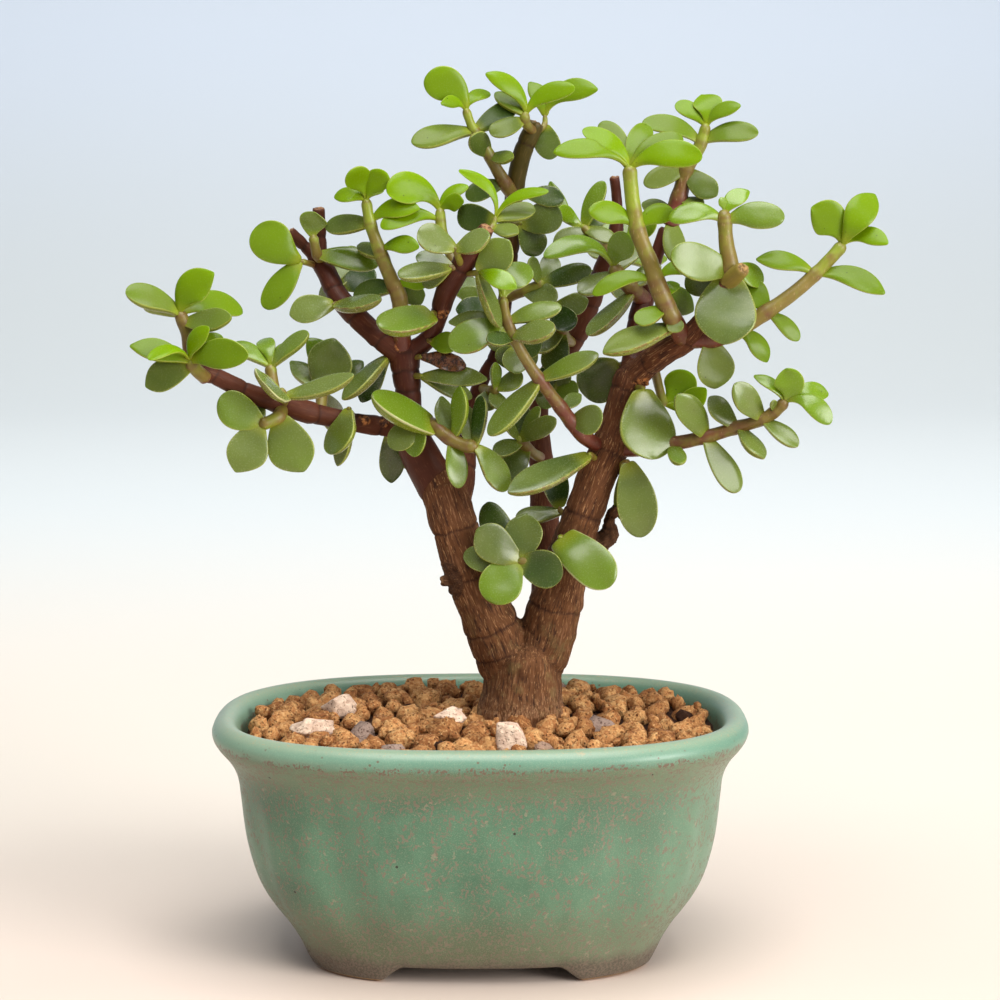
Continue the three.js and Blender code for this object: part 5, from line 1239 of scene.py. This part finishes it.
            (8.4, 96.6, -0.6, 104.6, -11, 80, 8.4, 0.35), (8.6, 96.6, 2.6, 86.4, -14, 84, 9.6, 0.5),
            (9, 96.6, 19.8, 92.8, -12.5, 80, 8.4, 0.2), (8.8, 96.6, 11.2, 108.2, -6, 82, 8.6, 0.2),
            (10.6, 96.6, 1.4, 110.8, 3, 80, 7, 0.1), (9.4, 96.6, -4, 98, -7.6, 76, 6.2, 0.15),
        ],
    },
    "right_limb_tilted_leaf": {
        "girth": (1.2, 1.2), "pale_rims": (0,), "ovals": (0,),
        "stem": [(22, -3, 101.4), (18.6, -8.2, 102.6)],
        "leaves": [(18.7, 102.6, 32, 90.8, -14.5, 74, 9.6, 0.45)],
    },
    "right_limb_olive_leaves": {
        "girth": (1.1, 1.1),
        "stem": [(22.6, -1, 107.4), (19.6, 3, 108.4), (19, 4.4, 110.4)],
        "leaves": [(19.6, 108.4, 8.6, 107, 2.5, 60, 4.8, 0.2), (19, 110.4, 16.6, 119.8, 6, 78, 6.4, 0.1)],
    },
    "rear_low_cluster": {
        "girth": (1.1, 1),
        "stem": [(14.6, 19, 121.6), (12.4, 14, 123), (8.8, 10, 126.8)],
        "leaves": [
            (8.8, 126.8, 14.4, 133.7, 8, 66, 3.2, 0.5), (9, 126.8, 18.4, 130.6, 4, 72, 4.6, 0.35),
            (8.8, 126.8, 6, 131, 8, 66, 2.8, 0.4), (10.4, 125.2, 3.6, 122.6, 4, 66, 4.4, 0.3),
            (11.6, 123.8, 6.2, 115.4, 8, 80, 6.4, 0.1),
            (8.5, 127, 9.7, 134.9, 12, 80, 5.5, 0.1),
        ],
    },
    "rear_right_bright_leaves": {
        "young": True, "girth": (1, 0.9),
        "stem": [(41.6, -2, 143), (42.8, 3, 138), (44, 5, 133.4)],
        "leaves": [(44, 133.4, 48.8, 142.5, 5.5, 82, 7.6, 0.9), (44, 133.4, 54, 138, 3, 80, 5.4, 0.85)],
    },
    "rear_outer_shoot": {
        "girth": (1.6, 1),
        "stem": [(28.6, 23, 163), (31, 29, 166), (33.6, 34, 169), (35.6, 38, 172.4)],
        "leaves": [
            (35.6, 172.4, 41.8, 178.4, 36, 70, 6.2, 0.7), (35.6, 172.4, 29.4, 178, 42, 70, 6, 0.7),
            (35.4, 172, 38.6, 170.4, 49, 40, 5.6, 0.6), (33.4, 168.8, 44.6, 168.6, 38, 66, 6, 0.45),
            (33.4, 168.8, 25.6, 171.4, 38, 66, 5.6, 0.4), (31, 166, 36.4, 160.4, 36, 74, 6.4, 0.3),
            (31, 166, 24.8, 161, 36, 74, 6, 0.3),
        ],
    },
    "centre_low_twig": {
        "small": True, "girth": (1.1, 1),
        "stem": [(0.4, 12, 138.3), (2.8, 7, 137.5), (4.5, 4, 138.5)],
        "leaves": [
            (4.5, 138.7, 3.8, 144.4, 3, 60, 3.6, 0.45),
            (4.7, 138.5, 10.4, 141.6, 5, 66, 5, 0.4),
            (3.5, 137.8, 5, 133.2, 1, 70, 4.6, 0.25),
            (2.8, 137.5, 0, 133, 4, 76, 5, 0.15),
        ],
    },
    "centre_deep_twig": {
        "small": True, "girth": (1.1, 1),
        "stem": [(16.6, 23, 134.9), (17.8, 18, 137.1), (18.5, 15, 138.7)],
        "leaves": [
            (18.5, 138.7, 23, 135.6, 12, 72, 6, 0.4),
            (18.5, 138.7, 13.3, 142.1, 14, 76, 6.4, 0.12),
            (18.3, 138, 14.7, 133.5, 14, 70, 5, 0.2),
            (18.5, 138.7, 20.6, 143, 15, 76, 5, 0.3),
        ],
    },
    "centre_upper_twig": {
        "small": True, "girth": (1.1, 1),
        "stem": [(5.2, 11.5, 150.1), (7.8, 8, 148.5), (9.2, 6, 147.3)],
        "leaves": [
            (9.2, 147.3, 14.9, 148.5, 4, 76, 5.6, 0.15),
            (9.2, 147.3, 8.8, 141.6, 3, 76, 6, 0.2),
            (8.8, 147.5, 4.7, 144, 7, 80, 5.6, 0.12),
            (9.2, 147.3, 13.3, 143.5, 6, 80, 5.4, 0.3),
        ],
    },
}
stem_steps = 7
stem_sides = 10
leaf_sides = 16
leaf_rows = 13
leaf_root = 0.9
short_stem = 7.5
fullness = 1.1
bare_tip = 2.5
thinnest_leaf = 1.3
thickest_leaf = 4.2
leaf_thickness_share = 0.24
fattest_at = 0.45
thinnest_blade = 0.45
leaf_seed = 5
leaning_back = 16
stem_fullness = 1.25
slim_stem = (0.62, 0.42)
node_ring = 0.5
node_bulge = 1.3
node_swell = 0.22
stem_cap = 0.35


def ball(mesh, sides, rows):
    """A closed ball of vertices, each with its row from 0 to rows and its angle round the ball."""
    verts = bmesh.ops.create_uvsphere(mesh, u_segments=sides, v_segments=rows, radius=1)["verts"]
    placed = []
    for vertex in verts:
        down = math.acos(max(min(vertex.co.z, 1), -1)) / math.pi
        placed.append((vertex, round(down * rows), math.atan2(vertex.co.y, vertex.co.x)))
    return placed


def foot_on(line, x, z):
    """The place on a stem's line, as seen, nearest to a leaf's foot and kept off the stem's very end."""
    inner = [p for p in line if (p - line[-1]).length > leaf_root] or line[:1]
    return min(inner, key=lambda p: math.hypot(p.x - x, p.z - z))


def grow_stem(mesh, marks, line, girth, tone, nodes, material_index):
    """A tapered stem along the line with a swollen ring at each of the nodes, given as distances along it."""
    frames = framed(line)
    length = frames[-1][2]
    start = Vector((len(line), line[0].x, line[0].z))
    faces = set()
    for vertex, row, angle in ball(mesh, stem_sides, len(line) + 1):
        i = min(max(row - 1, 0), len(line) - 1)
        tangent, sideways, travelled = frames[i]
        share = travelled / length
        ring = max(math.exp(-((travelled - node) / node_ring) ** 2) for node in nodes)
        bulge = max(math.exp(-((travelled - node) / node_bulge) ** 2) for node in nodes)
        radius = girth[0] + (girth[1] - girth[0]) * share + node_swell * bulge
        radius *= 1 - 0.45 * eased(travelled, length - 1, length)
        radius *= 1 + 0.06 * noise.noise(start + Vector((travelled / 2, math.cos(angle), math.sin(angle))))
        out = sideways * math.cos(angle) + tangent.cross(sideways) * math.sin(angle)
        if row in (0, len(line) + 1):
            vertex.co = line[i] + tangent * (stem_cap if row else -stem_cap)
        else:
            vertex.co = line[i] + out * radius
        vertex[marks["tone"]] = tone[0] + (tone[1] - tone[0]) * share
        vertex[marks["ring"]] = ring
        faces.update(vertex.link_faces)
    for face in faces:
        face.material_index = material_index


def grow_leaf(mesh, marks, base, tip, stem_way, facing, width, youth, rim, oval, dry, chance):
    """A fleshy leaf: a spoon with a narrow foot, a blunt tip, a flatter upper face and a full underside."""
    length = (tip - base).length
    along = (tip - base).normalized()
    front = Vector((0, -1, 0))
    front = (front - along * front.dot(along)).normalized()
    above = front.cross(along)
    if above.z < 0:
        above.negate()
    young = eased(youth, 0.45, 0.85)
    turn = facing - leaning_back * (1 - young) * (1 - eased(facing, 66, 74))
    turn = math.radians(turn + chance.uniform(-6, 6))
    face = above * math.cos(turn) + front * math.sin(turn)
    bow_way = stem_way - along * stem_way.dot(along)
    bow_way = bow_way.normalized() if bow_way.length > 0.2 else face
    bow = length * (chance.uniform(-0.02, 0.06) + young * chance.uniform(0.12, 0.2))
    thickness = min(max(leaf_thickness_share * length, thinnest_leaf), thickest_leaf, 0.5 * width)
    thickness *= 1 - 0.3 * young
    widest = chance.uniform(0.56, 0.64)
    waist = min(chance.uniform(0, 0.35) + 0.6 * young, 0.9)
    narrow_foot = 0.3 - 0.16 * young
    blunt = chance.uniform(1.9, 2.5)
    point = chance.uniform(0.46, 0.6) if chance.random() < 0.6 else chance.uniform(0.7, 0.95)
    cup = chance.uniform(0.01, 0.1) * width
    if oval:
        waist, narrow_foot, point = 0, 0.62, 0.52
    twist = chance.uniform(-0.2, 0.2)
    skew = chance.uniform(-0.08, 0.08) * width
    tone = chance.random()
    start = Vector((chance.uniform(-50, 50), 0, 0))

    def spine(share):
        """The leaf's midline, bowed toward the stem's own way."""
        return base + along * (share * length) + bow_way * (bow * math.sin(math.pi * max(share, 0) ** 0.8))

    for vertex, row, angle in ball(mesh, leaf_sides, leaf_rows):
        share = (1 - math.cos(math.pi * row / leaf_rows)) / 2
        side, lift = math.cos(angle), math.sin(angle)
        if share < widest:
            q = share / widest
            blade = (1 - waist) * math.sin(math.pi / 2 * q) ** 0.85 + waist * eased(q, 0, 1)
            blade = narrow_foot + (1 - narrow_foot) * blade
        else:
            q = (share - widest) / (1 - widest)
            blade = max(1 - q ** blunt, 0) ** point
        if share < fattest_at:
            body = 0.5 + 0.5 * math.sin(math.pi / 2 * share / fattest_at)
        else:
            body = max(1 - ((share - fattest_at) / (1 - fattest_at)) ** 2.6, 0) ** 0.5
        is_end = row in (0, leaf_rows)
        half_width = 0 if is_end else max(width / 2 * blade, thinnest_blade)
        fullness_here = 0.36 + 0.3 * young if lift > 0 else 1.6 - 0.4 * young
        half_thickness = 0 if is_end else thickness / 2 * body * fullness_here
        out_side = math.copysign(abs(side) ** 0.76, side)
        out_lift = math.copysign(abs(lift) ** (1.6 if lift > 0 else 0.8), lift)
        wave = 0.05 * width * noise.noise(start + Vector((share * 2.5, out_side, 0)))
        height = out_lift * half_thickness + cup * out_side ** 2 * blade + wave
        sway = out_side * half_width + skew * math.sin(math.pi * share)
        tangent = (spine(share + 0.02) - spine(share - 0.02)).normalized()
        up = (face - tangent * face.dot(tangent)).normalized()
        across = up.cross(tangent)
        lean = twist * (share - 0.3)
        spot = spine(share) + across * (sway * math.cos(lean) - height * math.sin(lean))
        spot += up * (height * math.cos(lean) + sway * math.sin(lean))
        if dry:
            spot += up * 0.9 * noise.noise(spot / 1.6) + across * 0.5 * noise.noise(spot / 1.2 + start)
        vertex.co = spot
        vertex[marks["youth"]] = youth
        vertex[marks["edge"]] = 1 if is_end else abs(side) ** 3
        vertex[marks["under"]] = 1 if lift < -0.1 else 0
        vertex[marks["share"]] = share
        vertex[marks["rim"]] = rim
        vertex[marks["tone"]] = tone
        vertex[marks["dry"]] = 1 if dry else 0


def leaf_finish(name, gloss):
    """A leaf's waxy skin: green by its youth, olive below, hoary near the rim, with a pale or rusty edge."""
    leaf = Finish(name)
    youth = leaf.mark("youth")
    tone = leaf.mark("tone")
    share = leaf.mark("share")
    rim = leaf.mark("rim")
    edge = leaf.mark("edge")
    under_side = leaf.mark("under")
    topmost = leaf.between(under_side, 0.4, 0.12)
    ripe = leaf.reckon("ADD", youth, leaf.between(tone, 0, 1, -0.12, 0.12))
    ripe = leaf.reckon("ADD", ripe, leaf.between(leaf.grain(9, 2), 0.3, 0.7, -0.04, 0.04))
    dark = leaf.mix(leaf.between(ripe, 0, 0.35), colour(40, 64, 16), colour(98, 112, 48))
    light = leaf.mix(leaf.between(ripe, 0.6, 1), colour(96, 122, 20), colour(106, 138, 0))
    body = leaf.mix(leaf.between(ripe, 0.36, 0.66), dark, light)
    under = leaf.mix(leaf.between(ripe, 0.1, 0.9), colour(132, 126, 62), colour(130, 148, 24))
    body = leaf.mix(leaf.reckon("MULTIPLY", under_side, 0.7), body, under)
    foot = leaf.between(share, 0.26, 0.04, 0, 0.6)
    body = leaf.mix(foot, body, colour(140, 148, 36))
    hoary = leaf.between(leaf.grain(0.36, 3, 0.7), 0.54, 0.68, 0, 1)
    near_rim = leaf.between(edge, 0.3, 0.9, 0.03, 0.45)
    grown = leaf.between(ripe, 0.6, 0.35, 0.35, 1)
    body = leaf.mix(leaf.reckon("MULTIPLY", leaf.reckon("MULTIPLY", hoary, near_rim), grown), body,
                    colour(204, 202, 150))
    line = leaf.reckon("MULTIPLY", leaf.between(edge, 0.7, 0.95), topmost)
    pale = leaf.mix(leaf.between(rim, -0.2, -0.8), colour(164, 168, 76), colour(214, 208, 160))
    body = leaf.mix(leaf.reckon("MULTIPLY", line, 0.55), body, pale)
    rust = leaf.reckon("MULTIPLY", leaf.between(rim, 0.2, 0.8), line)
    rust = leaf.reckon("MULTIPLY", rust, leaf.between(leaf.grain(1.4, 3), 0.4, 0.56, 0, 0.75))
    body = leaf.mix(rust, body, colour(112, 76, 46))
    specks = leaf.between(leaf.cells(3.2), 0.06, 0.04)
    body = leaf.mix(leaf.reckon("MULTIPLY", specks, 0.7), body, colour(44, 46, 18))
    corky = leaf.mix(leaf.between(leaf.grain(0.9, 4, 0.7), 0.4, 0.6), colour(44, 26, 18), colour(112, 70, 44))
    dry = leaf.mark("dry")
    body = leaf.mix(dry, body, corky)
    leaf.relief([(leaf.grain(3.2, 3), 0.15, 0.35), (leaf.grain(0.35, 3, 0.6), 0.12, 0.06)])
    leaf.set(Base_Color=body, Roughness=leaf.between(hoary, 0, 1, 0.26, 0.42))
    leaf.shader.inputs["Specular IOR Level"].default_value = gloss
    leaf.shader.inputs["Subsurface Weight"].default_value = 0.2
    leaf.shader.inputs["Subsurface Radius"].default_value = (0.6, 1, 0.15)
    leaf.shader.inputs["Subsurface Scale"].default_value = 1.4 * MM
    return leaf.material


def stem_finish():
    """A young stem's smooth skin, maroon to green by its tone, with a brown ring at each node."""
    stem = Finish("young_stem")
    tone = stem.mark("tone")
    patch = stem.between(stem.grain(4, 3), 0.35, 0.65, -0.14, 0.14)
    tone = stem.reckon("ADD", tone, patch)
    red = stem.mix(stem.grain(2.5), colour(84, 34, 24), colour(112, 54, 34))
    olive = stem.mix(stem.grain(3), colour(104, 92, 34), colour(128, 110, 42))
    green = stem.mix(stem.grain(3), colour(112, 128, 28), colour(142, 156, 36))
    body = stem.mix(stem.between(tone, 0.15, 0.5), red, olive)
    body = stem.mix(stem.between(tone, 0.55, 0.95), body, green)
    body = stem.mix(stem.reckon("MULTIPLY", stem.mark("ring"), 0.5), body, colour(98, 62, 34))
    flecks = stem.between(stem.grain(0.5, 3, stretch=(1, 1, 0.3)), 0.62, 0.7, 0, 0.4)
    body = stem.mix(flecks, body, colour(176, 150, 110))
    stem.relief([(stem.grain(0.7, 3), 0.25, 0.12)])
    stem.set(Base_Color=body, Roughness=stem.between(stem.grain(1.5), 0.3, 0.7, 0.38, 0.52))
    stem.shader.inputs["Subsurface Weight"].default_value = 0.08
    stem.shader.inputs["Subsurface Radius"].default_value = (1, 0.5, 0.2)
    stem.shader.inputs["Subsurface Scale"].default_value = 0.8 * MM
    return stem.material


leaf_looks = {"mature_leaf": leaf_finish("mature_leaf", 0.5), "young_leaf": leaf_finish("young_leaf", 0.16)}
stem_look = stem_finish()
leaf_row = random.Random(leaf_seed)
for name, shoot in shoots.items():
    growth = bmesh.new()
    marks = {mark: growth.verts.layers.float.new(mark)
             for mark in ("youth", "edge", "under", "share", "rim", "tone", "dry", "ring")}
    route = line_through([Vector(point) for point in shoot["stem"]], stem_steps)
    stem_line = [seen(*point) for point in route]
    rows = framed(stem_line)
    travel = [row[2] for row in rows]
    feet = [foot_on(route, leaf[0], leaf[1]) for leaf in shoot["leaves"]]
    nodes = [travel[route.index(foot)] for foot in feet]
    if travel[-1] - max(nodes) < bare_tip:
        kept = max(route.index(foot) for foot in feet) + 2
        stem_line = stem_line[:max(kept, 3)]
    slimming = (1, 1) if travel[-1] > short_stem else slim_stem
    girth = [stem_fullness * radius * slim for radius, slim in zip(shoot["girth"], slimming)]
    grow_stem(growth, marks, stem_line, girth, shoot.get("tone", (0.35, 0.75)), nodes, 1)
    for number, (leaf, foot) in enumerate(zip(shoot["leaves"], feet)):
        _, _, tip_x, tip_z, tip_y, facing, width, youth = leaf
        rim = (number in shoot.get("brown_rims", ())) - (number in shoot.get("pale_rims", ()))
        tip = seen(tip_x, tip_y, tip_z)
        stem_way = rows[route.index(foot)][0]
        dry = shoot.get("dry", False)
        oval = number in shoot.get("ovals", ())
        grow_leaf(growth, marks, seen(*foot), tip, stem_way, facing, fullness * width, youth, rim, oval, dry,
                  leaf_row)
    bmesh.ops.recalc_face_normals(growth, faces=growth.faces)
    slot = "young_leaf" if shoot.get("young") else "mature_leaf"
    piece = finished(growth, name + "_grown", leaf_looks[slot], stem_look)
    rounding = piece.modifiers.new("rounding", "SUBSURF")
    rounding.levels = 1
    rounding.render_levels = 1
    if not shoot.get("small"):
        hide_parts(name)

# Stage: a plain pale table that curves up behind, soft studio light from above and the front, and the
# camera at the photograph's viewing angle. Sizes here are in metres.
table_width = 8
table_front = -3
wall_top = 4
curve_start = 1.2
curve_radius = 1.8
curve_steps = 36
curve = [math.radians(90 * step / curve_steps) for step in range(curve_steps + 1)]
sweep = [(curve_start + curve_radius * math.sin(a), curve_radius * (1 - math.cos(a))) for a in curve]
side_line = [(table_front, 0), *sweep, (curve_start + curve_radius, wall_top)]
floor_mesh = bmesh.new()
table_line = [floor_mesh.verts.new((-table_width / 2, y, z)) for y, z in side_line]
table_edges = [floor_mesh.edges.new(pair) for pair in zip(table_line, table_line[1:])]
swept = bmesh.ops.extrude_edge_only(floor_mesh, edges=table_edges)["geom"]
far_side = [part for part in swept if isinstance(part, bmesh.types.BMVert)]
bmesh.ops.translate(floor_mesh, vec=(table_width, 0, 0), verts=far_side)
bmesh.ops.recalc_face_normals(floor_mesh, faces=floor_mesh.faces)
table_data = bpy.data.meshes.new("table")
floor_mesh.to_mesh(table_data)
floor_mesh.free()
table = bpy.data.objects.new("table", table_data)
bpy.context.scene.collection.objects.link(table)
for face in table_data.polygons:
    face.use_smooth = True
table_finish = Finish("pale_table")
distance = table_finish.axis("Y")
rise = table_finish.axis("Z")
nearing = table_finish.between(distance, -0.1, 0.2)
near = table_finish.mix(nearing, colour(219, 200, 187), colour(221, 212, 200))
far = table_finish.mix(table_finish.between(rise, 0, 0.32), colour(213, 217, 216), colour(222, 230, 240))
behind = table_finish.between(distance, 0.2, 0.8)
table_finish.set(Base_Color=table_finish.mix(behind, near, far), Roughness=0.7)
table_data.materials.append(table_finish.material)

lens_mm = 93.6
sensor_mm = 36
looking_down = 8.2
camera_roll = 0.2
camera_data = bpy.data.cameras.new("camera")
camera_data.lens = lens_mm
camera_data.sensor_width = sensor_mm
camera = bpy.data.objects.new("camera", camera_data)
camera.location = pot_middle + eye * MM
camera.rotation_euler = (math.radians(90 - looking_down), math.radians(camera_roll), 0)
bpy.context.scene.collection.objects.link(camera)
bpy.context.scene.camera = camera


def soft_light(name, place, aim, size, power, tint):
    """A square softbox at a place, aimed at a point."""
    lamp = bpy.data.lights.new(name, "AREA")
    lamp.size = size
    lamp.energy = power
    lamp.color = tint
    light = bpy.data.objects.new(name, lamp)
    light.location = place
    light.rotation_euler = (Vector(aim) - Vector(place)).to_track_quat("-Z", "Y").to_euler()
    bpy.context.scene.collection.objects.link(light)


soft_light("top_softbox", (0.05, -0.3, 1.1), (0, 0, 0.1), 0.8, 15, (1, 0.985, 0.96))
soft_light("front_softbox", (1.2, -0.95, 0.6), (0, 0, 0.1), 0.8, 24, (1, 0.98, 0.95))
soft_light("backdrop_light", (0, 0.5, 1.5), (0, 2.6, 0.9), 1.4, 25, (0.94, 0.97, 1))
sky = bpy.data.worlds.new("pale_room")
sky.use_nodes = True
sky.node_tree.nodes["Background"].inputs["Color"].default_value = (0.93, 0.96, 1, 1)
sky.node_tree.nodes["Background"].inputs["Strength"].default_value = 0.37
bpy.context.scene.world = sky
bpy.context.scene.view_settings.view_transform = "Standard"
